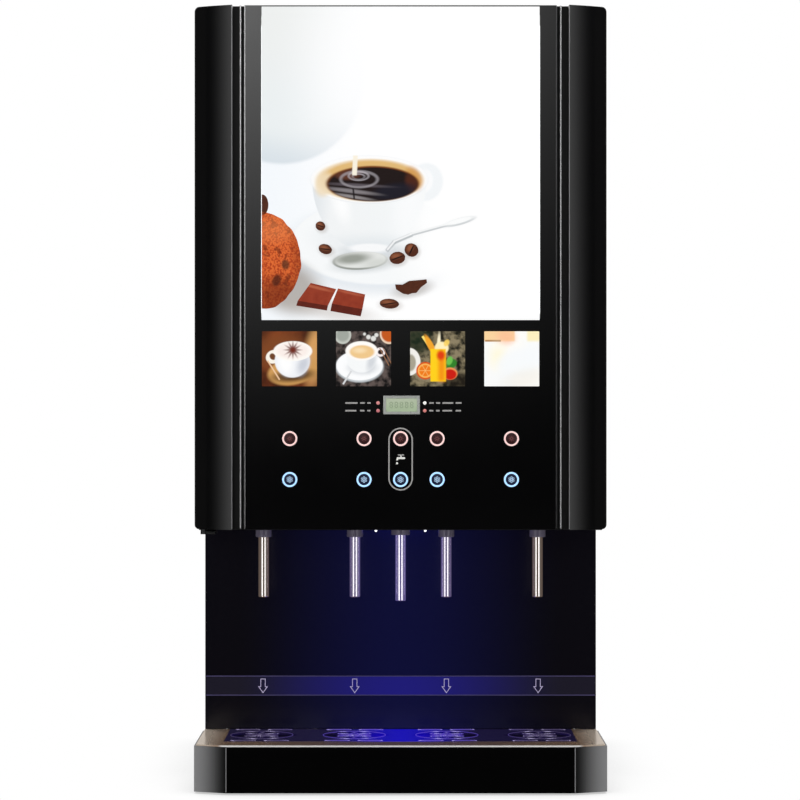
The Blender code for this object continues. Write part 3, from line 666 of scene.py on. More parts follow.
SPOON = (
    ("oval", -37, 537.5, 30, 8, 4, 4, (190, 196, 199), 0.6),
    ("block", -10, 555.6, 6.4, 1.9, 50, 1, (178, 183, 186), 0.9),
    ("block", 2.3, 563.4, 10.4, 1.9, 23, 1, (172, 178, 181), 0.9),
    ("block", 40, 575.2, 31, 1.5, 15.2, 0.8, (184, 189, 192), 0.85),
    ("oval", 60, 580.6, 16, 3.5, 15.2, 1, (190, 195, 198), 0.85),
    ("block", -9.8, 556.3, 6, 0.9, 50, 0.8, (243, 244, 245), 1),
    ("block", 2, 564.2, 10, 0.9, 23, 0.8, (245, 246, 247), 1),
    ("block", 39.5, 576, 31, 0.7, 15.2, 0.8, (249, 250, 250), 1),
    ("oval", 59.5, 581.4, 15.2, 2.6, 15.2, 1, (251, 252, 252), 1),
    ("oval", -41.2, 540.8, 27.5, 9, 3, 0.6, (142, 146, 140), 1),
    ("oval", -40.6, 541.9, 26.6, 8.2, 3, 0.8, (226, 228, 225), 1),
    ("oval", -49, 543, 17, 5, 5, 3, (134, 139, 129), 0.85),
    ("oval", -25, 538.5, 12, 4, 8, 3, (208, 211, 206), 0.8))
SHADOWS = (
    ("oval", -115, 515, 35, 25, -24, 11, (150, 140, 130), 0.75),
    ("oval", -71, 491, 40, 9, -9, 6, (190, 180, 172), 0.5),
    ("oval", 12, 512, 19, 7.5, 12, 4, (182, 176, 172), 0.7))

# each bean's middle and half size in millimetres, and its turn in degrees
BEANS = (((-81.1, 576.1), (5.0, 4.6), -30), ((-76.2, 552.7), (6.9, 5.0), -18),
         ((-3.3, 543.8), (8.0, 6.2), 8), ((11.0, 551.8), (6.6, 7.2), 52), ((-11.4, 497.5), (9.8, 5.0), -4))


def poster_scene():
    """A cup of coffee on a saucer, with a spoon and the shadows of beans, biscuit and chocolate; no lettering."""
    paint = Nodes("poster_print")
    x, z = paint.axis("X"), paint.axis("Z")
    art = paint.mix(paint.ramp(x, -0.150, 0.000), tint(243, 247, 251), tint(255, 255, 255))
    art = draw(paint, art, BACKDROP)
    body = paint.math("MULTIPLY", paint.ellipse((-0.0316, 0.6231), (0.0578, 0.0735), 0, 0.0006),
                      paint.ramp(z, 0.6245, 0.6225))
    china = paint.mix(paint.ramp(x, -0.075, 0.030), tint(241, 243, 244), tint(242, 245, 246))
    art = paint.over(art, body, china)
    art = draw(paint, art, CUP_SHADING, within=body)
    art = draw(paint, art, RIM_AND_FOAM)
    coffee = paint.ellipse((-0.0281, 0.6184), (0.0456, 0.0172), 0, 0.0010)
    art = paint.over(art, coffee, linear(26, 14, 13))
    art = draw(paint, art, COFFEE, within=coffee)
    for centre, wide, strength in (((-0.0425, 0.6268), 0.0108, 0.8), ((-0.0425, 0.6262), 0.0066, 0.8),
                                   ((-0.0420, 0.6235), 0.0200, 0.45)):
        outside = paint.ellipse(centre, (wide, wide * 0.46), 0, 0.0007)
        inside = paint.ellipse((centre[0], centre[1] - 0.0003), (wide * 0.86, wide * 0.34), 0, 0.0007)
        ripple = paint.math("MAXIMUM", paint.math("SUBTRACT", outside, inside), 0.0)
        mask = paint.math("MULTIPLY", ripple, coffee)
        art = paint.over(art, mask, linear(186, 180, 186), strength)
    art = draw(paint, art, (("block", -46.2, 637.5, 2.4, 10, -3, 0.8, (248, 240, 222), 1),))
    art = draw(paint, art, SPOON + SHADOWS)
    for (middle_x, middle_z), (wide, tall), turn in BEANS:
        shadow = ("oval", middle_x + 1.2, middle_z - 1.6, wide * 1.15, tall * 1.1, turn, 3, (176, 166, 160), 0.5)
        art = draw(paint, art, (shadow,))
    return lit_print(paint, art, POSTER_GLOW)


def from_mm(points):
    return [(x / 1000, z / 1000) for x, z in points]


def uneven_ellipse(centre, size, turn, roughness, seed, sides=72):
    """An ellipse whose edge wanders a little; centre and size in millimetres."""
    rng = random.Random(seed)
    waves = [(count, rng.uniform(0, math.tau)) for count in (5, 7, 11, 16, 23)]
    turned_by = Matrix.Rotation(math.radians(turn), 2)
    points = []
    for step in range(sides):
        angle = math.tau * step / sides
        reach = 1 + roughness * sum(math.sin(count * angle + phase) for count, phase in waves) / len(waves)
        spot = turned_by @ Vector((size[0] * math.cos(angle), size[1] * math.sin(angle))) * reach
        points.append(((centre[0] + spot.x) / 1000, (centre[1] + spot.y) / 1000))
    return points


def poster_patch(name, outline, finish):
    """A part of the picture, printed on its own film over the poster."""
    left, bottom = POSTER_LOW[0] + 0.0002, POSTER_LOW[2] + 0.0002
    clipped = [(max(x, left), max(z, bottom)) for x, z in outline]
    neighbours = zip(clipped[-1:] + clipped[:-1], clipped, clipped[1:] + clipped[:1])
    kept = [point for before, point, after in neighbours if max(before[0], point[0], after[0]) > left]
    film = prism([kept], 0.00002, FACING_FRONT, (0, POSTER_LOW[1] - 0.00004, 0))
    piece(name, film, finish, "door")


def make_poster_patches():
    """Biscuit, chocolate and coffee beans."""
    paint = Nodes("biscuit_print")
    crumb, cracks = paint.noise(520.0, 6.0), paint.noise(150.0, 3.0)
    art = paint.mix(paint.ramp(crumb, 0.38, 0.60), tint(172, 62, 24), tint(222, 106, 48))
    art = paint.over(art, paint.ramp(cracks, 0.42, 0.36), linear(104, 36, 14), 0.65)
    art = draw(paint, art, (("oval", -118, 500, 30, 22, -20, 12, (110, 38, 14), 0.75),
                            ("oval", -104, 540, 6, 34, 4, 5, (140, 54, 22), 0.5),
                            ("oval", -133, 572, 24, 12, 0, 8, (238, 142, 84), 0.35),
                            ("oval", -116.5, 537, 3.8, 5, 10, 1.5, (74, 44, 26), 0.8),
                            ("oval", -125.5, 521, 4.2, 6, -24, 1.5, (70, 28, 14), 0.8)))
    poster_patch("biscuit_picture", uneven_ellipse((-141, 540.9), (40, 49), 0, 0.025, 3, 120),
                 lit_print(paint, art, POSTER_GLOW))

    paint = Nodes("bean_print")
    art = paint.mix(paint.noise(300.0), tint(62, 30, 18), tint(92, 46, 28))
    for (x, z), (wide, tall), turn in BEANS:
        shine = ("oval", x - wide * 0.2, z + tall * 0.3, wide * 0.6, tall * 0.4, turn, 2, (150, 90, 60), 0.8)
        crease = ("oval", x, z, wide * 0.85, tall * 0.12, turn + 12, 0.3, (30, 12, 8), 1)
        art = draw(paint, art, (shine, crease))
    finish = lit_print(paint, art, POSTER_GLOW)
    beans = [uneven_ellipse(*bean, 0.03, seed) for seed, bean in enumerate(BEANS)]
    edge_bean = uneven_ellipse((-140.0, 597.5), (6.2, 10.5), 0, 0.02, 9)
    flake = [(-5.6, 517), (-4.6, 512), (2.4, 507.6), (7.6, 506.6), (11.6, 508), (16, 508.4), (20.6, 514),
             (26.8, 518.6), (26.2, 522.2), (18.6, 521.4), (8.6, 520.6), (2.0, 516.8)]
    for index, outline in enumerate([*beans, edge_bean, from_mm(flake)], start=1):
        poster_patch(f"bean_picture_{index}", outline, finish)

    for name, low_colour, high_colour, outlines in (
            ("chocolate_front", (78, 26, 18), (104, 38, 24), (
                [(-104, 500.5), (-73.5, 495.5), (-74.6, 490.5), (-105.6, 495.5)],
                [(-69.6, 497.5), (-38.6, 492), (-40.4, 484.6), (-71, 490)])),
            ("chocolate_top", (126, 42, 26), (160, 66, 42), (
                [(-91, 518.5), (-65.1, 512.3), (-73.5, 495.5), (-104, 500.5)],
                [(-63.3, 512.9), (-35.8, 506.9), (-38.6, 492), (-69.6, 497.5)]))):
        paint = Nodes(name + "_print")
        art = paint.mix(paint.noise(160.0), tint(*low_colour), tint(*high_colour))
        art = draw(paint, art, (("oval", -86, 514, 16, 1.4, -14, 1, (204, 118, 84), 0.5),
                                ("oval", -52, 508.5, 14, 1.2, -13, 1, (196, 106, 76), 0.5)))
        finish = lit_print(paint, art, POSTER_GLOW)
        for index, outline in enumerate(outlines, start=1):
            poster_patch(f"{name}_{index}", from_mm(outline), finish)


# the menu pictures, in millimetres from the middle of each card
COFFEE_CARD = (
    ("oval", -10, 8, 26, 18, 8, 9, (128, 70, 34), 0.9),
    ("oval", 26, 4, 10, 30, -8, 5, (216, 160, 96), 0.95),
    ("oval", 4, -12, 26, 14, 12, 1.5, (206, 154, 88), 1),
    ("oval", 4, -17, 20, 6, 6, 3, (48, 22, 12), 0.85),
    ("oval", -16.5, 2, 7.5, 6.6, 30, 0.6, (250, 244, 232), 1),
    ("oval", -16.8, 2.2, 3, 3.6, 40, 0.6, (110, 66, 38), 1),
    ("oval", 3, -2, 17.8, 17, 0, 0.8, (240, 242, 246), 1),
    ("oval", -4, -4, 7, 11, 10, 4, (255, 255, 255), 0.9),
    ("oval", 14, -6, 5, 9, -20, 4, (200, 204, 214), 0.9),
    ("oval", 3.5, 7.8, 19.5, 10, 0, 0.6, (255, 252, 246), 1),
    ("oval", 3, 8.2, 16.5, 8, 0, 2, (250, 238, 232), 1),
    *[("oval", 3.5, 9, 7.5, 1.1, turn, 0.7, (112, 44, 30), 0.9) for turn in range(0, 180, 30)],
    ("block", -16, -11.5, 11.5, 0.7, -58, 0.5, (240, 200, 160), 1))
TEA_CARD = (
    ("oval", -21, 24, 8.5, 9, 0, 0.6, (196, 200, 192), 1),
    ("oval", -21, 24, 6.5, 6.5, 0, 1.5, (150, 156, 148), 0.8),
    ("oval", 26, 25, 9.5, 10, 0, 0.6, (240, 216, 190), 1),
    ("oval", 26, 25.5, 8, 8.6, 0, 1, (196, 88, 26), 1),
    *[("oval", dx, dz, size, size, 0, 0.8, (236, 236, 232), 0.9)
      for dx, dz, size in ((5, 22, 2.2), (10, 20.5, 2.6), (13, 24, 2), (1, 25, 1.4))],
    ("oval", -4, -8, 24.2, 15.8, 0, 1.2, (196, 202, 206), 1),
    ("oval", -4, -6.8, 23.5, 15, 0, 0.6, (252, 253, 254), 1),
    ("oval", -1, -9, 15, 7, 0, 3, (214, 218, 222), 0.8),
    ("oval", 17, 6.8, 5, 4.6, 0, 0.5, (250, 240, 240), 1),
    ("oval", 17.2, 6.8, 2.7, 2.4, 0, 0.5, (46, 34, 32), 1),
    ("oval", -2, 0.5, 15.2, 14.5, 0, 0.8, (246, 248, 249), 1),
    ("oval", 8, -3, 4, 9, -16, 3, (206, 210, 216), 0.85),
    ("oval", -2, 8, 16.2, 9.8, 0, 0.6, (255, 252, 248), 1),
    ("oval", -1.5, 7, 12.5, 6.8, 0, 1, (240, 200, 140), 1),
    ("oval", -4, 8.5, 6, 2.6, 0, 2, (250, 224, 180), 0.9),
    ("block", 21, 2, 10, 0.5, -62, 0.4, (150, 108, 80), 1),
    ("block", 24.5, 2, 10, 0.5, -62, 0.4, (150, 108, 80), 1),
    ("block", -16.5, -19, 8, 0.9, 58, 0.5, (214, 216, 218), 1))
JUICE_CARD = (
    ("oval", -20, 18, 15, 13, 0, 6, (24, 40, 24), 0.9),
    ("oval", 22, -22, 16, 8, 0, 5, (30, 24, 16), 0.85),
    ("oval", -29, -3, 11.5, 14, 0, 0.6, (242, 240, 234), 1),
    ("oval", -27.5, -4, 5.5, 8.5, 0, 1, (168, 162, 144), 1),
    ("oval", 13.5, -5, 6, 4.8, 25, 0.8, (48, 130, 42), 1),
    ("oval", 12, -2, 3, 4.5, -20, 0.8, (110, 192, 80), 1),
    ("oval", -12.5, -12, 9.2, 8.8, 0, 0.6, (222, 84, 18), 1),
    ("oval", -12.5, -12, 7.6, 7.2, 0, 0.6, (252, 186, 92), 1),
    ("oval", -12.5, -12, 6.2, 5.8, 0, 0.8, (240, 124, 24), 1),
    *[("block", -12.5, -12, 6.4, 0.3, turn, 0.3, (252, 200, 120), 0.8) for turn in (0, 60, 120)],
    ("oval", 12.5, -15, 7.5, 6.2, 0, 0.6, (240, 150, 84), 1),
    ("oval", 12.5, -15.8, 6.6, 5.2, 0, 0.8, (204, 28, 14), 1),
    ("block", -10, 15, 9.5, 1.2, -56, 0.5, (254, 230, 120), 1),
    ("oval", -7, 13, 3, 12, 28, 0.8, (244, 166, 44), 1),
    ("oval", 1, 15, 1.6, 11, -4, 0.8, (255, 244, 210), 1),
    ("oval", 4, 11, 7, 6.2, 0, 1, (255, 240, 190), 1),
    ("oval", 9, 16, 2.6, 3.6, -30, 0.8, (252, 214, 100), 0.9),
    ("block", 0.5, -6.5, 7.8, 16.5, 0, 0.8, (255, 208, 24), 1),
    ("block", 4, -7.5, 3.4, 15, 0, 3, (244, 142, 14), 0.9),
    ("oval", 3.2, 3.5, 4, 4.8, 0, 2.2, (224, 62, 10), 1))
SOY_CARD = (
    ("block", -13, 24, 16, 6.2, 0, 1.2, (250, 212, 160), 1),
    ("oval", -6, 21.5, 9, 7, 0, 5, (254, 190, 150), 0.7),
    ("block", 22, 24, 6.5, 6.2, 0, 2, (252, 240, 192), 1),
    ("block", -19, 18.2, 8, 0.9, 0, 0.5, (176, 128, 82), 1),
    ("oval", -14, 2, 8, 11, 0, 8, (255, 248, 218), 0.8),
    ("oval", 8, -4, 23, 14, 12, 5, (247, 250, 252), 0.9),
    ("oval", 12, -20, 23, 9, 14, 6, (243, 240, 233), 0.7))
MENU = (("menu_card_coffee", -112.5, COFFEE_CARD, (44, 18, 8), (132, 62, 28), 25.0),
        ("menu_card_milk_tea", -37.5, TEA_CARD, (16, 14, 15), (96, 84, 80), 160.0),
        ("menu_card_juice", 37.5, JUICE_CARD, (24, 24, 16), (140, 128, 100), 150.0),
        ("menu_card_soy", 112.5, SOY_CARD, (248, 250, 251), (255, 253, 248), 30.0))


def make_menu_cards():
    """Four lit picture cards in the glass."""
    half, z, corner = 0.0278, 0.4417, 0.0006
    for name, middle_x, rows, dark, light, grain in MENU:
        x = middle_x / 1000
        paint = Nodes(name + "_print")
        art = paint.mix(paint.ramp(paint.noise(grain, 5.0), 0.35, 0.65), tint(*dark), tint(*light))
        finish = lit_print(paint, draw(paint, art, rows, (x, z)), POSTER_GLOW)
        outline = round_rectangle((x - half, z - half), (x + half, z + half), corner, 3)
        card = prism([outline], 0.0004, FACING_FRONT, (0, GLASS_Y - 0.0001, 0))
        piece(name, card, finish, "door")


# ---------------------------------------------------------------- door
def pillar_plan(side):
    """The CAD pillar's plan with finer curves."""
    front = swept((0.1705, -0.2695), (0.1896, -0.2622), (0.2065, -0.2505), 20)
    corner = swept((0.2065, -0.2505), (0.2094, -0.2485), (0.2100, -0.2455), 8)
    points = [*front, *corner[1:], (0.2100, -0.2160), (0.1705, -0.2160)]
    return [(side * x, y) for x, y in points]


def make_pillar(name, side):
    """Swept plan with rounded ends, hollow behind; the left one holds the hinge, the right the lock."""
    low, high = PILLAR_LOW[2], PILLAR_HIGH[2]
    height = high - low
    shape = prism([pillar_plan(side)], height, FLAT, (0, 0, low + height / 2))
    half, radius = PILLAR_HIGH[0], 0.005
    limit = prism([round_rectangle((-half, low), (half, high), radius, 8)], 0.080, FACING_FRONT, (0, -0.240, 0))
    shape = carved(shape, limit, "INTERSECT")
    pocket_low = low + 0.004
    pocket_high = 0.7885 if side < 0 else high - 0.004
    pocket = [(side * x, y) for x, y in
              ((0.1735, -0.2645), (0.2070, -0.2470), (0.2070, -0.205), (0.1735, -0.205))]
    depth = pocket_high - pocket_low
    shape = carved(shape, prism([pocket], depth, FLAT, (0, 0, pocket_low + depth / 2)))
    if side < 0:
        shape = carved(shape, block((-0.220, HINGE[1] - 0.0125, 0.7925), (-0.1885, -0.205, 0.7965)))
        bore = turned(rod(0.0033, 0.7930, 0.260), (HINGE[0], HINGE[1], 0), "Z", 24)
    else:
        bore = turned(rod(0.0063, 0.020, -0.008), LOCK, "X", 32)
    piece(name + "_shell", carved(shape, bore), BLACK_GLOSS, "door", 0.0004, 30, (name,))


def make_trims():
    """Two chrome lines on each side of the glass, the right inner one in a darker copy of the chrome as painted shade,
    and a grey line along each pillar's inner edge as a painted highlight of that edge.
    """
    # grey strip on each pillar's inner edge: painted highlight of that edge
    edge_highlight_grey = surface("pillar_edge_painted_highlight", (0.32, 0.32, 0.33), 0.30, 0.6, vary=0.05, grain=400.0).material
    trim = surface("trim_chrome", (0.58, 0.58, 0.59), 0.25, 1.0, vary=0.05, grain=400.0).material
    # darker copy of the chrome for the right inner line: painted shade
    painted_shade_chrome = surface("trim_chrome_painted_shade", (0.14, 0.14, 0.145), 0.25, 1.0, vary=0.05, grain=400.0).material
    glass_z, pillar_z = (GLASS_LOW[2], GLASS_HIGH[2]), (PILLAR_LOW[2], PILLAR_HIGH[2])
    for side_name, side in SIDES:
        # inner and outer X, front and rear Y, finish, ends in Z, and how far short of them it stops
        for line, inner, outer, front, rear, finish, (low, high), short in (
                ("outer", 0.1612, 0.1630, GLASS_Y + 0.0002, DOOR_LOW[1] - 0.0001, trim, glass_z, 0.0),
                ("inner", 0.1571, 0.1582, GLASS_Y - 0.0003, GLASS_Y - 0.00001, trim if side < 0 else painted_shade_chrome,
                 glass_z, 0.0005),
                ("pillar", 0.1703, 0.1713, -0.2699, -0.2680, edge_highlight_grey, pillar_z, 0.0008)):
            left, right = sorted((side * inner, side * outer))
            bar = block((left, front, low + short), (right, rear, high - short))
            strip = piece(f"{line}_line_{side_name}", bar, finish, "door")
            soften(strip, (outer - inner) * 0.4, 4)


def printed_glass():
    """Black ceramic print under glass: very glossy, with a faint haze of wiping."""
    paint = surface("printed_black_glass", (0.0022, 0.0022, 0.0024), 0.10, vary=0.1, grain=40.0,
                    rough_vary=0.35, relief=0.0000015, Specular_IOR_Level=0.55)
    return paint.material


def ink(name, colour, glow=0.0):
    """Flat colour, lit from behind when glow is above zero."""
    paint = surface(name, colour, 0.35, vary=0.04, grain=600.0, relief=0.000004)
    if glow:
        paint.set(Emission_Color=(*colour, 1.0), Emission_Strength=glow)
    return paint.material


WHITE_INK = ink("white_ink", linear(236, 236, 232), 0.25)
GREY_INK = ink("grey_ink", linear(176, 174, 172), 0.12)


def stadium(centre_x, low_z, high_z, half_width, steps=20):
    """An upright slot outline with round ends."""
    return [*arc((centre_x, high_z - half_width), half_width, 0, 180, steps),
            *arc((centre_x, low_z + half_width), half_width, 180, 360, steps)]


PRINT_THICKNESS = 0.00008


def front_print(name, outlines, finish, body="door", y=None):
    """Thin flat ink on the front glass, or on a face at y."""
    face = GLASS_Y if y is None else y
    mesh = prism(outlines, PRINT_THICKNESS, FACING_FRONT, (0, face - PRINT_THICKNESS / 2, 0))
    return piece(name, mesh, finish, body)


INDICATOR_ROWS = (0.3970, 0.3892)


def make_front_markings():
    """Outline and tap round the water buttons, and plain dashes where the labels would be."""
    z_mid = 0.3402
    outer = stadium(0.0, z_mid - 0.0318, z_mid + 0.0318, 0.0124)
    inner = stadium(0.0, z_mid - 0.0305, z_mid + 0.0305, 0.0111)
    front_print("water_outline", [outer, inner], GREY_INK)

    z = 0.3412
    body = round_rectangle((-0.0036, z - 0.0010), (0.0046, z + 0.0010), 0.0007, 4)
    stem = rectangle((-0.0002, z + 0.0009), (0.0010, z + 0.0028))
    spout = [(-0.0045, z - 0.0022), (-0.0026, z - 0.0022), (-0.0022, z - 0.0006), (-0.0036, z + 0.0008)]
    drop = circle((-0.0036, z - 0.0052), 0.0011, 24)
    for index, outline in enumerate((body, stem, spout, drop), start=1):
        front_print(f"tap_symbol_{index}", [outline], WHITE_INK)
    handle = round_rectangle((-0.0028, z + 0.0026), (0.0036, z + 0.0038), 0.0005, 3)
    front_print("tap_symbol_handle", [handle], GREY_INK)

    half_tall, gap = 0.0008, 0.0024
    for row, z in enumerate(INDICATOR_ROWS, start=1):
        marks = []
        for x, widths in ((-0.0560, (0.0125, 0.0050, 0.0035)), (0.0290, (0.0045, 0.0040, 0.0110, 0.0060))):
            for width in widths:
                right = x + width * (1.1 - 0.1 * row)
                marks.append(round_rectangle((x, z - half_tall), (right, z + half_tall), 0.0004, 2))
                x += width + gap
        front_print(f"label_marks_{row}", marks, GREY_INK)


def make_indicators():
    """Four small domed lights beside the display."""
    upper, lower = INDICATOR_ROWS
    lights = ((-0.0228, upper, linear(206, 132, 132)), (-0.0228, lower, linear(196, 116, 120)),
              (0.0245, upper, linear(240, 240, 236)), (0.0245, lower, linear(206, 124, 118)))
    dome = [(0.0, 0.00070), (0.0008, 0.00062), (0.0014, 0.00038), (0.0018, 0.0), (0.0018, -0.0002),
            (0.0, -0.0002)]
    for index, (x, z, colour) in enumerate(lights, start=1):
        piece(f"indicator_{index}", turned(dome, (x, GLASS_Y, z), "-Y", 28),
              ink(f"indicator_lens_{index}", colour, 0.45), "door")


def digit_bars(x, z, wide, tall, bar):
    """The seven bars of a display digit."""
    gap = bar * 0.35
    bars = []
    for level in (-1, 0, 1):
        across = z + level * tall / 2
        bars.append(rectangle((x - wide / 2 + gap, across - bar / 2), (x + wide / 2 - gap, across + bar / 2)))
    for side in (-1, 1):
        for level in (-1, 1):
            upright = x + side * wide / 2
            low, high = sorted((level * (bar / 2 + gap), level * (tall / 2 - bar / 2 - gap)))
            bars.append(rectangle((upright - bar / 2, z + low), (upright + bar / 2, z + high)))
    return bars


def make_display():
    """Unlit-looking liquid crystal screen with five blank digits; its grey-green glows as painted light, lighter
    towards the top.
    """
    low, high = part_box("lcd_display")
    x, z = (low[0] + high[0]) / 2, (low[2] + high[2]) / 2
    face = low[1] + 0.0008
    paint = Nodes("display_glass")
    fade = paint.ramp(paint.axis("Z"), z - 0.007, z + 0.007)
    colour = paint.mix(fade, tint(170, 188, 156), tint(186, 196, 172))
    colour = paint.over(colour, paint.noise(500.0), linear(150, 172, 140), 0.35)
    # painted light: the screen's colour also given off as a glow
    paint.set(Base_Color=colour, Emission_Color=colour, Emission_Strength=0.30, Roughness=0.22)
    screen = upright_block(x, z, 0.0157, 0.0067, face - 0.0003, face)
    piece("display_screen", screen, paint.material, "door")
    segments = ink("display_segments", linear(136, 156, 124), 0.15)
    bars = []
    for index in range(5):
        bars += digit_bars(x - 0.0105 + index * 0.0052, z, 0.0026, 0.0056, 0.0006)
    front_print("display_digits", bars, segments, "door", face - 0.0003)


BUTTONS = [f"button_{kind}_{which}" for kind in ("hot", "cold") for which in ("1", "2", "3", "4", "water")]


def small_sun(x, z):
    """A ring with eight short rays round it, for hot."""
    marks = [[circle((x, z), 0.0014, 24), circle((x, z), 0.0009, 24)]]
    for turns in range(8):
        turn = Matrix.Rotation(math.tau * turns / 8, 2)
        ray = [turn @ Vector(point) for point in rectangle((-0.0003, 0.0019), (0.0003, 0.0027))]
        marks.append([[(x + point.x, z + point.y) for point in ray]])
    return marks


def ice_flower(x, z):
    """Six small rings round a middle one, for cold."""
    places = [(x, z)] + [(x + 0.0022 * math.cos(a), z + 0.0022 * math.sin(a))
                         for a in (math.radians(30 + 60 * step) for step in range(6))]
    return [[circle(place, 0.00105, 20), circle(place, 0.00055, 20)] for place in places]


def make_buttons():
    """Rings with a stem behind, lenses and symbols, each riding on its own button."""
    looks = {"hot": (ink("hot_ring", linear(236, 216, 214), 0.40), ink("hot_lens", linear(46, 9, 13), 0.25),
                     ink("hot_icon", linear(140, 86, 86), 0.20), small_sun),
             "cold": (ink("cold_ring", linear(196, 224, 250), 0.45), ink("cold_lens", linear(6, 20, 50), 0.35),
                      ink("cold_icon", linear(176, 208, 238), 0.40), ice_flower)}
    outer, inner, stem, end = 0.0076, 0.0059, 0.0030, -0.0138
    ring = [(outer - 0.0004, 0.0), (outer - 0.0001, -0.0002), (outer, -0.0006), (outer, -0.0060),
            (stem, -0.0060), (stem, end), (0.0, end), (0.0, -0.0020), (inner, -0.0020), (inner, -0.0003),
            (inner + 0.0003, 0.0)]
    lens = [(0.0, -0.0005), (inner * 0.6, -0.0006), (inner - 0.0002, -0.0009), (inner - 0.0001, -0.0019),
            (0.0, -0.0019)]
    for name in BUTTONS:
        kind = "hot" if name.startswith("button_hot") else "cold"
        ring_finish, lens_finish, icon_finish, symbol = looks[kind]
        x, z, front = middle(name).x, middle(name).z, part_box(name)[0][1]
        piece(name + "_ring", turned(ring, (x, front, z), "-Y", 56), ring_finish, name,
              smooth=30, replaces=(name,))
        piece(name + "_lens", turned(lens, (x, front, z), "-Y", 48), lens_finish, name)
        marks = [prism(outlines, PRINT_THICKNESS, FACING_FRONT, (0, front + 0.0004, 0))
                 for outlines in symbol(x, z)]
        piece(name + "_symbol", merged(marks), icon_finish, name)


def make_door_inside():
    """Light strips, switch board, and the screws and seal on the door's rear face."""
    lamp = ink("white_lamp", (0.95, 0.97, 1.0), 2.0)
    low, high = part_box("light_box")
    rear = high[1]
    for name, side in SIDES:
        x = side * (high[0] - 0.006)
        strip = block((x - 0.004, rear - 0.0030, low[2] + 0.006), (x + 0.004, rear - 0.0017, high[2] - 0.006))
        lamps = []
        for index in range(11):
            rise = index * 0.026
            lamps.append(block((x - 0.0014, rear - 0.0046, low[2] + 0.02 + rise),
                               (x + 0.0014, rear - 0.0030, low[2] + 0.0228 + rise)))
        piece(f"light_strip_{name}", merged([strip, *lamps]), lamp, "door")
    board_front = -0.2546
    board = block((-0.130, board_front, 0.300), (0.130, board_front + 0.0016, 0.412))
    piece("keypad_board", board, ink("circuit_board", linear(24, 74, 46)), "door", 0.0004)
    switches = [upright_block(middle(name).x, middle(name).z, 0.003, 0.003, -0.2550, board_front)
                for name in BUTTONS]
    piece("keypad_switches", merged(switches), BLACK_PLASTIC, "door")
    spots = [(x, DOOR_HIGH[1], z) for x in (-0.155, 0.155) for z in (0.285, 0.455, 0.625, 0.785)]
    piece("door_rear_screws", merged([screw_head(spot, "Y") for spot in spots]), STEEL, "door")
    outlines = [round_rectangle((-half, DOOR_LOW[2] + short), (half, DOOR_HIGH[2] - short), radius)
                for half, short, radius in ((0.164, 0.004, 0.008), (0.160, 0.008, 0.005))]
    seal = prism(outlines, 0.0020, FACING_FRONT, (0, DOOR_HIGH[1] + 0.0010, 0))
    piece("door_seal", seal, RUBBER, "door", 0.0005)


def make_door():
    make_pillar("left_pillar", -1)
    make_pillar("right_pillar", 1)
    make_trims()
    sheet = surface("door_black", (0.003, 0.003, 0.0032), 0.38, vary=0.15, grain=900.0, Specular_IOR_Level=0.25)
    silver = surface("silver_paint", linear(206, 210, 204), 0.28, 0.35, grain=700.0)
    dress("front_glass", printed_glass(), 0.0003)
    dress("poster_panel", poster_scene(), 0.0002)
    dress("door_frame", sheet.material, 0.0003)
    dress("light_box", WHITE_PLASTIC, 0.0003)
    dress("lcd_display", silver.material, 0.0004, 3)
    dress("door_lock", CHROME, 0.0003)
    make_poster_patches()
    make_menu_cards()
    make_front_markings()
    make_indicators()
    make_display()
    make_buttons()
    make_door_inside()


# ---------------------------------------------------------------- nozzles and splash panel
def make_nozzles():
    """Polished tubes, with a painted reflection that glows warm at the sides and blue in the middle, in translucent
    violet collars.
    """
    collar = surface("violet_collar", linear(150, 142, 168), 0.25, vary=0.12, grain=80.0).material
    polish = surface("polished_tube_painted_reflection", (0.88, 0.86, 0.85), 0.09, 1.0, vary=0.03, grain=300.0,
                     stretch=(1, 1, 0.02), relief=0.000002)
    # painted reflection: a glow, warm brown on the outer tubes and blue towards the middle
    nearness = polish.ramp(polish.sideways(), 0.135, 0.0)
    polish.set(Emission_Color=polish.mix(nearness, tint(92, 76, 66), tint(98, 88, 148)), Emission_Strength=0.75)
    outer, bore = 0.0054, 0.0035
    inner = outer + 0.0001
    for name in (*(f"drink_nozzle_{n}" for n in range(1, 5)), "water_nozzle"):
        low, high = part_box(name)
        x, tip, top = middle(name).x, low[2], high[2]
        profile = [(outer, top), (outer, tip + 0.0008), (outer - 0.0003, tip + 0.0002), (outer - 0.0007, tip),
                   (bore + 0.0004, tip), (bore, tip + 0.0004), (bore, top)]
        piece(name + "_tube", turned(profile, (x, OUTLET_Y, 0), "Z", 48, True), polish.material, "cabinet",
              smooth=18, replaces=(name,))
        wide, collar_low = (0.0098, 0.2590) if name == "water_nozzle" else (0.0084, 0.2568)
        rim = [(inner, collar_low), (wide - 0.0006, collar_low), (wide, collar_low + 0.0006), (wide, 0.2682),
               (wide + 0.0030, 0.2683), (wide + 0.0030, 0.2710), (inner, 0.2722)]
        piece(name + "_collar", turned(rim, (x, OUTLET_Y, 0), "Z", 48, True), collar, "cabinet")


def splash_finish(name, side_colour, middle_colour):
    """Dark gloss with a painted glow of blue lamp light that grows towards the middle."""
    paint = Nodes(name)
    # painted lamp light: blue glow growing towards the middle
    colour = paint.mix(paint.ramp(paint.sideways(), 0.175, 0.0), tint(*side_colour), tint(*middle_colour))
    dust = paint.noise(300.0)
    paint.set(Base_Color=paint.mix(0.5, colour, BLACK), Emission_Color=colour, Emission_Strength=1.0,
              Roughness=paint.ramp(dust, 0.3, 0.7, 0.16, 0.22), Specular_IOR_Level=0.30)
    paint.bump(dust, 0.000003)
    return paint.material


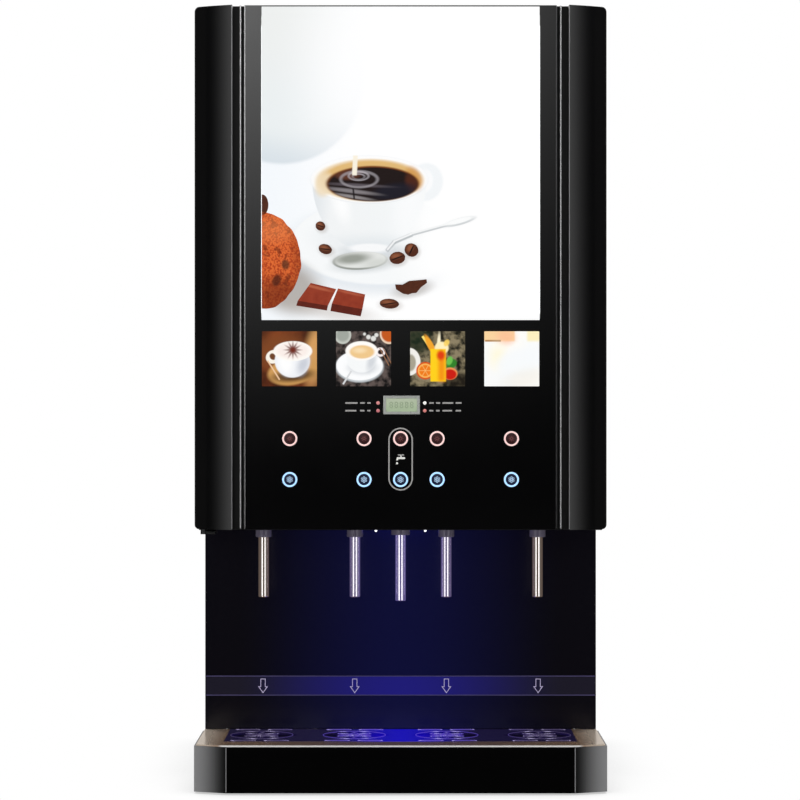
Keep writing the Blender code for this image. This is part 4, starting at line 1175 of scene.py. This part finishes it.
def arrow_outlines(x):
    """A hollow arrow that points down at a cup's place."""
    tip, neck, top, head, shaft, line = 0.0885, 0.0958, 0.1040, 0.0053, 0.0027, 0.0007
    rim, inside = 0.0016, 0.0011
    outer = [(0.0, tip), (head, neck), (shaft, neck), (shaft, top)]
    inner = [(0.0, tip + inside), (head - rim, neck - line), (shaft - line, neck - line), (shaft - line, top - line)]
    return [[(x + dx, z) for dx, z in half] + [(x - dx, z) for dx, z in reversed(half[1:])]
            for half in (outer, inner)]


def make_splash():
    """The lit panel behind the cups, its guide band and four arrows."""
    face = SPLASH_LOW[1]
    dress("splash_panel", splash_finish("splash_gloss", (6, 5, 10), (10, 11, 47)), 0.0004)
    band_low, band_high = 0.0865, 0.1067
    half = SPLASH_HIGH[0] - 0.0010
    band = splash_finish("guide_band_gloss", (23, 21, 32), (27, 24, 106))
    front_print("guide_band", [rectangle((-half, band_low), (half, band_high))], band, "cabinet", face)
    line = ink("band_line", linear(70, 64, 104), 0.25)
    over_band = face - 0.0001
    for name, z in (("band_line_low", band_low), ("band_line_high", band_high)):
        front_print(name, [rectangle((-half, z - 0.0005), (half, z + 0.0005))], line, "cabinet", over_band)
    arrow_ink = ink("arrow_ink", linear(190, 180, 214), 0.35)
    for index, x in enumerate(STATIONS, start=1):
        front_print(f"cup_arrow_{index}", arrow_outlines(x * 1.02), arrow_ink, "cabinet", over_band)


def make_head_underside():
    """Two small white lamps and the blue lamp bar under the head."""
    lamp = ink("small_white_lamp", (0.95, 0.96, 1.0), 1.5)
    dome = [(0.0013, 0.0), (0.0013, -0.0012), (0.0009, -0.0020), (0.0, -0.0024), (0.0, 0.0)]
    for name, side in SIDES:
        piece(f"cup_lamp_{name}", turned(dome, (side * 0.0255, -0.205, HEAD_FLOOR_Z), "Z", 24), lamp, "cabinet")
    bar = block((-0.030, -0.1240, HEAD_FLOOR_Z - 0.0030), (0.030, -0.1160, HEAD_FLOOR_Z - 0.0002))
    piece("blue_lamp_bar", bar, ink("blue_lamp", linear(40, 40, 255), 3.0), "cabinet", 0.0008)


# ---------------------------------------------------------------- base
def deck_finish():
    """Brown-tinted polished steel with faint lengthwise polish lines; painted highlights lighten the outer corners and
    turn the front lip white.
    """
    paint = Nodes("deck_steel")
    lines = paint.noise(260.0, 3.0, (0.03, 1, 1))
    lip_start, lip_end = -0.2655, -0.2685
    colour = paint.mix(lines, tint(152, 118, 92), tint(178, 144, 116))
    # painted highlight: pale towards the outer corners
    colour = paint.over(colour, paint.ramp(paint.sideways(), 0.176, 0.206), linear(250, 232, 212))
    # painted highlight: the front lip white and less metallic
    colour = paint.over(colour, paint.ramp(paint.axis("Y"), lip_start, lip_end), linear(252, 250, 248))
    paint.set(Base_Color=colour, Roughness=0.20, Metallic=paint.ramp(paint.axis("Y"), lip_start, lip_end, 0.45, 0.0))
    paint.bump(lines, 0.000004)
    return paint.material


def base_finish():
    """Deep black lacquer on the front; towards the outer corners a grey, rougher painted reflection."""
    paint = Nodes("base_lacquer_painted_reflection")
    speck = paint.noise(180.0)
    # painted reflection: grey and rougher on the corner facets, growing towards the outer edge
    corner = paint.math("MULTIPLY", paint.ramp(paint.sideways(), 0.176, 0.212),
                        paint.ramp(paint.axis("Y"), -0.246, -0.255))
    black = paint.mix(speck, (0.0010, 0.0010, 0.0011, 1), (0.0018, 0.0018, 0.0019, 1))
    paint.set(Base_Color=paint.mix(corner, black, (0.34, 0.34, 0.345, 1)),
              Roughness=paint.ramp(corner, 0.0, 0.5, 0.14, 0.40), Specular_IOR_Level=0.15)
    paint.bump(speck, 0.000003)
    return paint.material


def glow_finish(name, base, roughness, metallic, spread, far, near, glow=1.0):
    """A finish lit blue and violet in the middle of the tray."""
    paint = Nodes(name)
    closeness = paint.ramp(paint.sideways(), spread, 0.0)
    ripple = paint.noise(90.0)
    paint.set(Base_Color=paint.mix(ripple, (*[v * 0.85 for v in base], 1), (*base, 1)), Roughness=roughness,
              Emission_Color=paint.mix(closeness, tint(*far), tint(*near)), Emission_Strength=glow,
              Metallic=metallic)
    paint.bump(ripple, 0.000005)
    return paint.material


def make_grille_wires():
    """Bright wires round each cup place, their glow painted lamp light: an oval, crossing petals, and slots at the
    front and rear.
    """
    z = GRILLE_HIGH[2] + 0.0001
    mid_y = (GRILLE_LOW[1] + GRILLE_HIGH[1]) / 2
    wires = []

    def loop(x, y, wide, deep, turn=0.0, steps=40):
        turned_by = Matrix.Rotation(math.radians(turn), 2)
        path = []
        for step in range(steps + 1):
            angle = math.tau * step / steps
            spot = turned_by @ Vector((wide * math.cos(angle), deep * math.sin(angle)))
            path.append((x + spot.x, y + spot.y, z))
        wires.append(tube(path, 0.0004, 2))

    for x in STATIONS:
        x = x * 1.01
        loop(x, mid_y, 0.0325, 0.036)
        loop(x, mid_y, 0.0060, 0.0075)
        for turn in (35, 90, 145):
            loop(x, mid_y, 0.0210, 0.0050, turn)
        for y in (GRILLE_LOW[1] + 0.0050, GRILLE_HIGH[1] - 0.0050):
            for dx in (-0.0170, 0.0170):
                loop(x + dx, y, 0.0130, 0.0020)
    # painted lamp light: the wires glow blue and violet, most in the middle
    finish = glow_finish("grille_wire", (0.17, 0.15, 0.22), 0.32, 1.0, 0.150, (58, 48, 84), (84, 62, 196), 0.9)
    piece("grille_wires", merged(wires), finish, "grille")


def make_base():
    """Housing, deck, tray and grille, with grey lines at the front corners as painted highlights of those edges, and
    rubber round the feet.
    """
    tray = glow_finish("tray_plastic", (0.010, 0.010, 0.016), 0.30, 0.0, 0.075, (8, 5, 24), (24, 8, 190))
    grille = glow_finish("grille_steel", (0.10, 0.09, 0.12), 0.22, 1.0, 0.075, (16, 10, 42), (16, 5, 172))
    dress("base_housing", base_finish(), 0.0006, 3, 20)
    dress("base_deck", deck_finish(), 0.0005, 3, 20)
    dress("drip_tray", tray, 0.0004)
    dress("drip_grille", grille, 0.00025)
    dress("floor_pan", GALVANISED, 0.0003)
    make_grille_wires()
    # grey lines at the housing's front corners: painted highlights of the corner edges
    corner_highlight_grey = surface("base_corner_painted_highlight", (0.30, 0.30, 0.31), 0.35, 0.3, vary=0.05, grain=400.0).material
    for name, side in SIDES:
        x = side * 0.1767
        line = block((x - 0.0005, HOUSING_LOW[1] - 0.00001, HOUSING_LOW[2] + 0.0008),
                     (x + 0.0005, HOUSING_LOW[1] + 0.0008, HOUSING_HIGH[2] - 0.0006))
        piece(f"base_corner_highlight_{name}", line, corner_highlight_grey, "cabinet")
    pad = [(0.0151, 0.0002), (0.0158, 0.0010), (0.0158, 0.0066), (0.0151, 0.0072)]
    for index, (x, y) in enumerate([(x, y) for x in (-0.165, 0.165) for y in (-0.215, 0.215)], start=1):
        piece(f"foot_pad_{index}", turned(pad, (x, y, 0), "Z", 40, True), RUBBER, "cabinet")


# ---------------------------------------------------------------- cabinet outside
def chassis_finish():
    """Galvanised sheet, black and not metallic below z 0.275, where it shows under the head."""
    paint = Nodes("chassis_sheet")
    spangle = paint.noise(70.0, 5.0)
    above_head_floor = paint.ramp(paint.axis("Z"), 0.2745, 0.2755)
    colour = paint.mix(spangle, (0.40, 0.41, 0.42, 1), (0.60, 0.61, 0.62, 1))
    paint.set(Base_Color=paint.mix(above_head_floor, (0.004, 0.004, 0.005, 1), colour), Metallic=above_head_floor, Roughness=0.38)
    paint.bump(spangle, 0.000006)
    return paint.material


def make_cabinet():
    """Powder-coated sheets with their screws."""
    for name in ("left_side_panel", "right_side_panel"):
        dress(name, BLACK_SHEET, 0.0004)
    dress("top_cover", BLACK_SHEET, 0.0008, 3)
    dress("rear_panel", BLACK_SHEET, 0.0003)
    dress("inner_chassis", chassis_finish(), 0.0003)
    dress("door_hinge", BLACK_SHEET, 0.0003)
    places = ((-0.195, 0.780), (0.255, 0.780), (-0.195, 0.285), (0.255, 0.285),
              (-0.090, 0.030), (0.255, 0.030))
    for name, side in SIDES:
        heads = merged([screw_head((SIDE_X, y, z), "X") for y, z in places])
        if side < 0:
            heads.transform(Matrix.Diagonal((-1, 1, 1, 1)))
            heads.flip_normals()
        piece(f"{name}_side_screws", heads, STEEL, "cabinet")
    make_rear_fittings()


def make_fan_guard(x, z):
    """Four wire rings on two crossed bars, and the shroud behind them."""
    half_wire, reach = 0.0008, 0.056
    rings = [turned(hoop(radius - half_wire, radius + half_wire, -half_wire, half_wire), (x, 0.2590, z), "Y", 48, True)
             for radius in (0.014, 0.026, 0.038, 0.050)]
    bars = []
    for angle in (math.radians(45), math.radians(135)):
        dx, dz = reach * math.cos(angle), reach * math.sin(angle)
        bars.append(tube([(x - dx, 0.2605, z - dz), (x + dx, 0.2605, z + dz)], 0.0009, 3))
    piece("fan_guard", merged(rings + bars), STEEL, "cabinet")
    half = 0.062
    outlines = [round_rectangle((x - half, z - half), (x + half, z + half), 0.008), circle((x, z), 0.0575)]
    shroud = prism(outlines, 0.020, FACING_FRONT, (0, 0.2455, 0))
    piece("fan_shroud", shroud, BLACK_PLASTIC, "cabinet", 0.0006)


def make_rear_fittings():
    """Screws, inlet pins, switch, fan guard, a blank plate."""
    spots = [(x, REAR_FACE_Y, z) for x in (-0.195, 0.195) for z in (0.030, 0.275, 0.520, 0.785)]
    piece("rear_screws", merged([screw_head(spot, "Y") for spot in spots]), STEEL, "cabinet")
    inlet_x, inlet_z = 0.122, 0.050
    pins = [upright_block(inlet_x + dx, inlet_z + dz, 0.001, 0.0025, 0.2500, 0.2640)
            for dx, dz in ((-0.007, -0.002), (0.0, 0.003), (0.007, -0.002))]
    brass = surface("pin_brass", linear(198, 172, 110), 0.25, 1.0).material
    piece("inlet_pins", merged(pins), brass, "cabinet", 0.0003)
    dress("power_switch", BLACK_PLASTIC, 0.0008, 3)
    fan = middle("fan_rotor")
    make_fan_guard(fan.x, fan.z)
    plate = prism([round_rectangle((0.030, 0.330), (0.130, 0.385), 0.004)], 0.0004, FACING_FRONT,
                  (0, REAR_FACE_Y + 0.0002, 0))
    aluminium = surface("plate_aluminium", (0.62, 0.62, 0.63), 0.32, 1.0, grain=400.0, stretch=(0.05, 1, 1))
    piece("blank_plate", plate, aluminium.material, "cabinet")


# ---------------------------------------------------------------- inside
def powder(name, low_colour, high_colour):
    paint = Nodes(name)
    grains = paint.noise(900.0, 6.0)
    lumps = paint.noise(60.0)
    paint.set(Base_Color=paint.mix(grains, (*low_colour, 1), (*high_colour, 1)), Roughness=0.95)
    paint.bump(paint.math("ADD", grains, lumps), 0.0008)
    return paint.material


def heap(x, low_z, top_z, seed):
    """Powder in a canister, with an uneven top."""
    rng = random.Random(seed)
    bm = bmesh.new()
    front, rear, half = -0.1970, -0.0150, 0.0424
    waves = [(rng.uniform(20, 60), rng.uniform(20, 60), rng.uniform(0, math.tau)) for _ in range(5)]
    grid = bmesh.ops.create_grid(bm, x_segments=14, y_segments=24, size=1.0)["verts"]
    for vert in grid:
        px, py = x + vert.co.x * half, (front + rear) / 2 + vert.co.y * (rear - front) / 2
        rise = sum(0.0016 * math.sin(a * px + b * py * 1.3 + c) for a, b, c in waves)
        slump = 0.018 * (1 - (vert.co.y * 0.5 + 0.5))
        vert.co = (px, py, top_z + rise - slump)
    side = bmesh.ops.extrude_edge_only(bm, edges=[edge for edge in bm.edges if edge.is_boundary])
    for item in side["geom"]:
        if isinstance(item, bmesh.types.BMVert):
            item.co.z = low_z
    bmesh.ops.holes_fill(bm, edges=[edge for edge in bm.edges if edge.is_boundary])
    return close_up(bm)


def canister_section(half_width, shoulder_z, trough_radius, top_z, axis_z, steps=20):
    """Straight sides that run down to a round trough for the auger."""
    trough = arc((0.0, axis_z), trough_radius, 190, 350, steps)
    return [(-half_width, top_z), (-half_width, shoulder_z), *trough, (half_width, shoulder_z), (half_width, top_z)]


def canister(x, low, high, auger_z):
    """Clear hopper with a spout below and a hole for the auger's shaft."""
    wall, spout_y = 0.002, -0.172
    place, length = (x, (low[1] + high[1]) / 2, 0), high[1] - low[1]
    outside = canister_section(0.045, 0.535, 0.016, high[2], auger_z)
    inside = canister_section(0.043, 0.536, 0.014, high[2] + 0.01, auger_z)
    shape = prism([outside], length, FACING_FRONT, place)
    shape = carved(shape, turned(rod(0.013, 0.036, 0.0), (x, spout_y, low[2]), "Z", 32), "UNION")
    shape = carved(shape, prism([inside], length - 2 * wall, FACING_FRONT, place))
    shape = carved(shape, turned(rod(0.011, 0.056, 0.0), (x, spout_y, low[2] - 0.012), "Z", 32))
    return carved(shape, turned(rod(0.005, 0.020, 0.0), (x, -0.020, auger_z), "Y", 24))


def make_canisters():
    """Four hoppers of powder, each with a colour tag and a lid with a knob."""
    powders = ((linear(74, 44, 26), linear(120, 78, 50)), (linear(206, 178, 140), linear(238, 220, 190)),
               (linear(226, 142, 52), linear(248, 186, 96)), (linear(226, 214, 188), linear(248, 242, 226)))
    auger_z = middle("auger_1").z
    knob = [(0.0, 0.0060), (0.0045, 0.0058), (0.0055, 0.0045), (0.0050, 0.0), (0.0, 0.0)]
    for number, (x, (dark, light)) in enumerate(zip(STATIONS, powders), start=1):
        name = f"canister_{number}"
        low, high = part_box(name)
        piece(name + "_shell", canister(x, low, high, auger_z), SMOKED_CLEAR, "cabinet",
              0.0006, 30, (name,))
        fill = heap(x, 0.5375, 0.655 - 0.018 * ((number - 1) % 3), number)
        piece(f"powder_{number}", fill, powder(f"powder_grains_{number}", dark, light), "cabinet",
              smooth=60)
        dress(f"canister_lid_{number}", WHITE_PLASTIC, 0.0006)
        tag = prism([round_rectangle((x - 0.030, 0.600), (x + 0.030, 0.640), 0.004)], 0.0003, FACING_FRONT,
                    (0, low[1] - 0.0002, 0))
        piece(f"canister_tag_{number}", tag, ink(f"tag_colour_{number}", light), "cabinet")
        lid_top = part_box(f"canister_lid_{number}")[1][2]
        piece(f"lid_knob_{number}", turned(knob, (x, -0.188, lid_top), "Z", 28), BLACK_PLASTIC, f"lid_{number}")


def auger_blade(inner, radius, pitch, turns):
    """A helical ribbon round the Z axis, thickened to a blade."""
    bm = bmesh.new()
    line = [bm.verts.new((inner, 0, 0)), bm.verts.new((radius, 0, 0))]
    edge = bm.edges.new(line)
    steps = turns * 16
    bmesh.ops.spin(bm, geom=[*line, edge], cent=(0, 0, 0), axis=(0, 0, 1), dvec=(0, 0, pitch * turns / steps),
                   angle=math.tau * turns, steps=steps, use_duplicate=False)
    ribbon = bpy.data.meshes.new("blade")
    bm.to_mesh(ribbon)
    bm.free()
    flight = bpy.data.objects.new("flight", ribbon)
    thick = flight.modifiers.new("thickness", "SOLIDIFY")
    thick.thickness = 0.0016
    thick.offset = 0.0
    return as_mesh(flight)


def make_augers():
    """Screws in the canisters' troughs."""
    radius, hub, pitch, turns = 0.0122, 0.0040, 0.0222, 8
    for index, x in enumerate(STATIONS, start=1):
        name = f"auger_{index}"
        low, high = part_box(name)
        z = middle(name).z
        blade = auger_blade(hub - 0.0006, radius, pitch, turns)
        blade.transform(Matrix.Translation((x, low[1] + 0.0010, z)) @ ALONG["Y"])
        end = high[1] - low[1] - 0.0002
        shaft = turned([(0.0, 0.0), (hub - 0.0008, 0.0), (hub, 0.0008), (hub, end), (0.0, end)],
                       (x, low[1], z), "Y", 24)
        piece(f"auger_screw_{index}", merged([blade, shaft]), WHITE_PLASTIC, name,
              replaces=(name,))


def make_whisks():
    """Discs with six fins, on the motors' shafts."""
    for index, x in enumerate(STATIONS, start=1):
        name = f"whisk_{index}"
        z, end = middle(name).z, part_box(name)[1][1] - OUTLET_Y
        disc = [(0.0, -0.0070), (0.0028, -0.0070), (0.0030, -0.0030), (0.0115, -0.0010), (0.0120, 0.0),
                (0.0115, 0.0012), (0.0040, 0.0028), (0.0025, 0.0040), (0.0025, end), (0.0, end)]
        parts = [turned(disc, (x, OUTLET_Y, z), "Y", 32)]
        for turn in range(0, 360, 60):
            fin = block((0.0040, -0.0028, -0.0005), (0.0116, 0.0026, 0.0005))
            fin.transform(Matrix.Translation((x, OUTLET_Y, z)) @ Matrix.Rotation(math.radians(turn), 4, "Y"))
            parts.append(fin)
        piece(f"whisk_beater_{index}", merged(parts), WHITE_PLASTIC, name, replaces=(name,))


def square_loft(section, centre, roundness):
    """A closed skin over rounded squares; each step of the section gives half width and height."""
    bm = bmesh.new()
    rings = []
    for half, z in section:
        outline = round_rectangle((-half, -half), (half, half), half * roundness, 5)
        rings.append([bm.verts.new((centre[0] + x, centre[1] + y, z)) for x, y in outline])
    for low, high in zip(rings, [*rings[1:], rings[0]]):
        for index, vert in enumerate(low):
            after = (index + 1) % len(low)
            bm.faces.new((vert, low[after], high[after], high[index]))
    return close_up(bm)


def make_bowls():
    """Square mixing bowls with rounded corners, whisk chamber and outlet."""
    hose_finish = clear_plastic("silicone_hose", (0.80, 0.82, 0.84), 0.35, 0.5)
    section = [(0.0400, 0.4250), (0.0400, 0.3960), (0.0392, 0.3935), (0.0300, 0.3798), (0.0188, 0.3634),
               (0.0180, 0.3610), (0.0180, 0.3052), (0.0174, 0.3043), (0.0070, 0.2964), (0.0065, 0.2955),
               (0.0065, 0.2880), (0.0050, 0.2880), (0.0050, 0.2965), (0.0165, 0.3058), (0.0165, 0.3625),
               (0.0385, 0.3955), (0.0385, 0.4250)]
    neck = [(0.0, 0.036), (0.0068, 0.036), (0.0070, 0.0355), (0.0070, 0.0), (0.0, 0.0)]
    sleeve = [(0.0078, 0.2925), (0.0078, 0.2760), (0.0056, 0.2755), (0.0056, 0.2876), (0.0067, 0.2880),
              (0.0067, 0.2925)]
    hose = ((0.030, -0.1065, 0.4180), (0.030, -0.1150, 0.4200), (0.0270, -0.1270, 0.4270),
            (0.0250, -0.1360, 0.4250), (0.0240, -0.1400, 0.4150))
    for index, x in enumerate(STATIONS, start=1):
        name = f"mixing_bowl_{index}"
        whisk_z = middle(f"whisk_{index}").z
        bowl = square_loft(section, (x, OUTLET_Y), 0.22)
        bowl = carved(bowl, turned(neck, (x, OUTLET_Y + 0.0175, whisk_z), "Y", 32), "UNION")
        bowl = carved(bowl, turned(rod(0.0040, 0.060, 0.0), (x, OUTLET_Y + 0.010, whisk_z), "Y", 32))
        piece(name + "_shell", bowl, BOWL_CLEAR, "cabinet", smooth=30, replaces=(name,))
        piece(f"outlet_sleeve_{index}", square_loft(sleeve, (x, OUTLET_Y), 0.5), hose_finish, "cabinet")
        feed = smooth_path([(x + dx, y, z) for dx, y, z in hose])
        piece(f"water_feed_{index}", tube(feed, 0.0032), hose_finish, "cabinet")


def make_tanks():
    """Jacketed hot and cold tanks with steel bands."""
    jacket = surface("foam_jacket", linear(66, 68, 72), 0.8, vary=0.2, grain=500.0, relief=0.0003).material
    for name, radius in (("hot_water_tank", 0.065), ("cold_water_tank", 0.060)):
        (bottom, top), spot = [corner[2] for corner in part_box(name)], middle(name)
        place = (spot.x, spot.y, 0)
        profile = [(0.0, top), (radius * 0.33, top), (radius * 0.36, top - 0.003), (radius * 0.44, top - 0.012),
                   (radius * 0.86, top - 0.020), (radius * 0.96, top - 0.026), (radius, top - 0.038),
                   (radius, bottom + 0.022), (radius * 0.97, bottom + 0.012), (radius * 0.90, bottom + 0.006),
                   (radius * 0.80, bottom), (0.0, bottom)]
        piece(name + "_jacket", turned(profile, place, "Z", 56), jacket, "cabinet",
              smooth=30, replaces=(name,))
        bands = [turned(hoop(radius - 0.0004, radius + 0.0006, z - 0.004, z + 0.004), place, "Z", 56, True)
                 for z in (bottom + 0.070, top - 0.080)]
        piece(name + "_bands", merged(bands), STEEL, "cabinet")


def make_cooling():
    """Compressor, condenser coil and the copper line between them."""
    copper = surface("copper_pipe", linear(196, 118, 82), 0.28, 1.0, vary=0.15, grain=90.0).material
    enamel = surface("black_enamel", (0.012, 0.012, 0.013), 0.22, vary=0.1, grain=300.0).material
    spot = middle("compressor")
    pot = [(0.0, 0.190), (0.018, 0.1892), (0.034, 0.186), (0.048, 0.1785), (0.058, 0.168), (0.064, 0.157),
           (0.066, 0.146), (0.066, 0.108), (0.070, 0.106), (0.070, 0.098), (0.066, 0.096), (0.0645, 0.060),
           (0.062, 0.042), (0.054, 0.031), (0.048, 0.026), (0.048, 0.0105), (0.040, 0.0105), (0.040, 0.030),
           (0.054, 0.045), (0.057, 0.140), (0.050, 0.160), (0.0, 0.180)]
    piece("compressor_pot", turned(pot, (spot.x, spot.y, 0), "Z", 56), enamel, "cabinet",
          smooth=30, replaces=("compressor",))
    coil_x, coil_y, pipe, turns, steps = -0.020, 0.180, 0.0025, 7, 24
    coil = []
    for step in range(turns * steps + 1):
        angle = math.tau * step / steps
        coil.append((coil_x + 0.012 * math.cos(angle), coil_y + 0.030 * math.sin(angle),
                     0.040 + 0.020 * step / steps))
    piece("condenser_coil", tube(coil, pipe, 3), copper, "cabinet")
    line = smooth_path([(spot.x - 0.045, spot.y, 0.170), (spot.x - 0.055, spot.y + 0.010, 0.205),
                        (spot.x - 0.075, spot.y + 0.040, 0.215), (-0.008, coil_y, 0.190), (-0.008, coil_y, 0.180)])
    piece("refrigerant_line", tube(line, pipe, 3), copper, "cabinet")


def make_services():
    """Power supply, control board with its chips, wiring, bulkhead screws and the fan."""
    supply = block((-0.175, 0.010, 0.0125), (-0.095, 0.120, 0.060))
    piece("power_supply", supply, GALVANISED, "cabinet", 0.0010)
    board = block((0.172, 0.030, 0.320), (0.1736, 0.190, 0.520))
    piece("control_board", board, ink("control_board_green", linear(26, 80, 50)), "cabinet", 0.0003)
    rng = random.Random(7)
    chips = []
    for _ in range(26):
        y, z = rng.uniform(0.040, 0.176), rng.uniform(0.332, 0.505)
        chips.append(block((0.1690, y, z), (0.1722, y + rng.uniform(0.004, 0.012), z + rng.uniform(0.004, 0.010))))
    piece("control_chips", merged(chips), BLACK_PLASTIC, "cabinet", 0.0003)
    for name, colour, shift in (("red", linear(170, 26, 22), 0.0), ("blue", linear(30, 60, 150), 0.004)):
        path = smooth_path([(0.170, 0.060 + shift, 0.500), (0.150, 0.045, 0.560 + shift),
                            (0.060, 0.035 + shift, 0.600), (-0.050, 0.040, 0.605 + shift),
                            (-0.150, 0.045 + shift, 0.560)], 10)
        piece(f"loom_{name}", tube(path, 0.0014, 3), ink(f"{name}_wire", colour), "cabinet")
    spots = [(x, -0.0075, 0.770) for x in (-0.190, -0.095, 0.0, 0.095, 0.190)]
    piece("bulkhead_screws", merged([screw_head(spot, "-Y") for spot in spots]), STEEL, "cabinet")
    dress("fan_rotor", BLACK_PLASTIC, 0.0004)


def make_inside():
    make_canisters()
    make_augers()
    make_whisks()
    make_bowls()
    make_tanks()
    make_cooling()
    make_services()


make_camera()
make_studio()
make_door()
make_nozzles()
make_splash()
make_head_underside()
make_base()
make_cabinet()
make_inside()
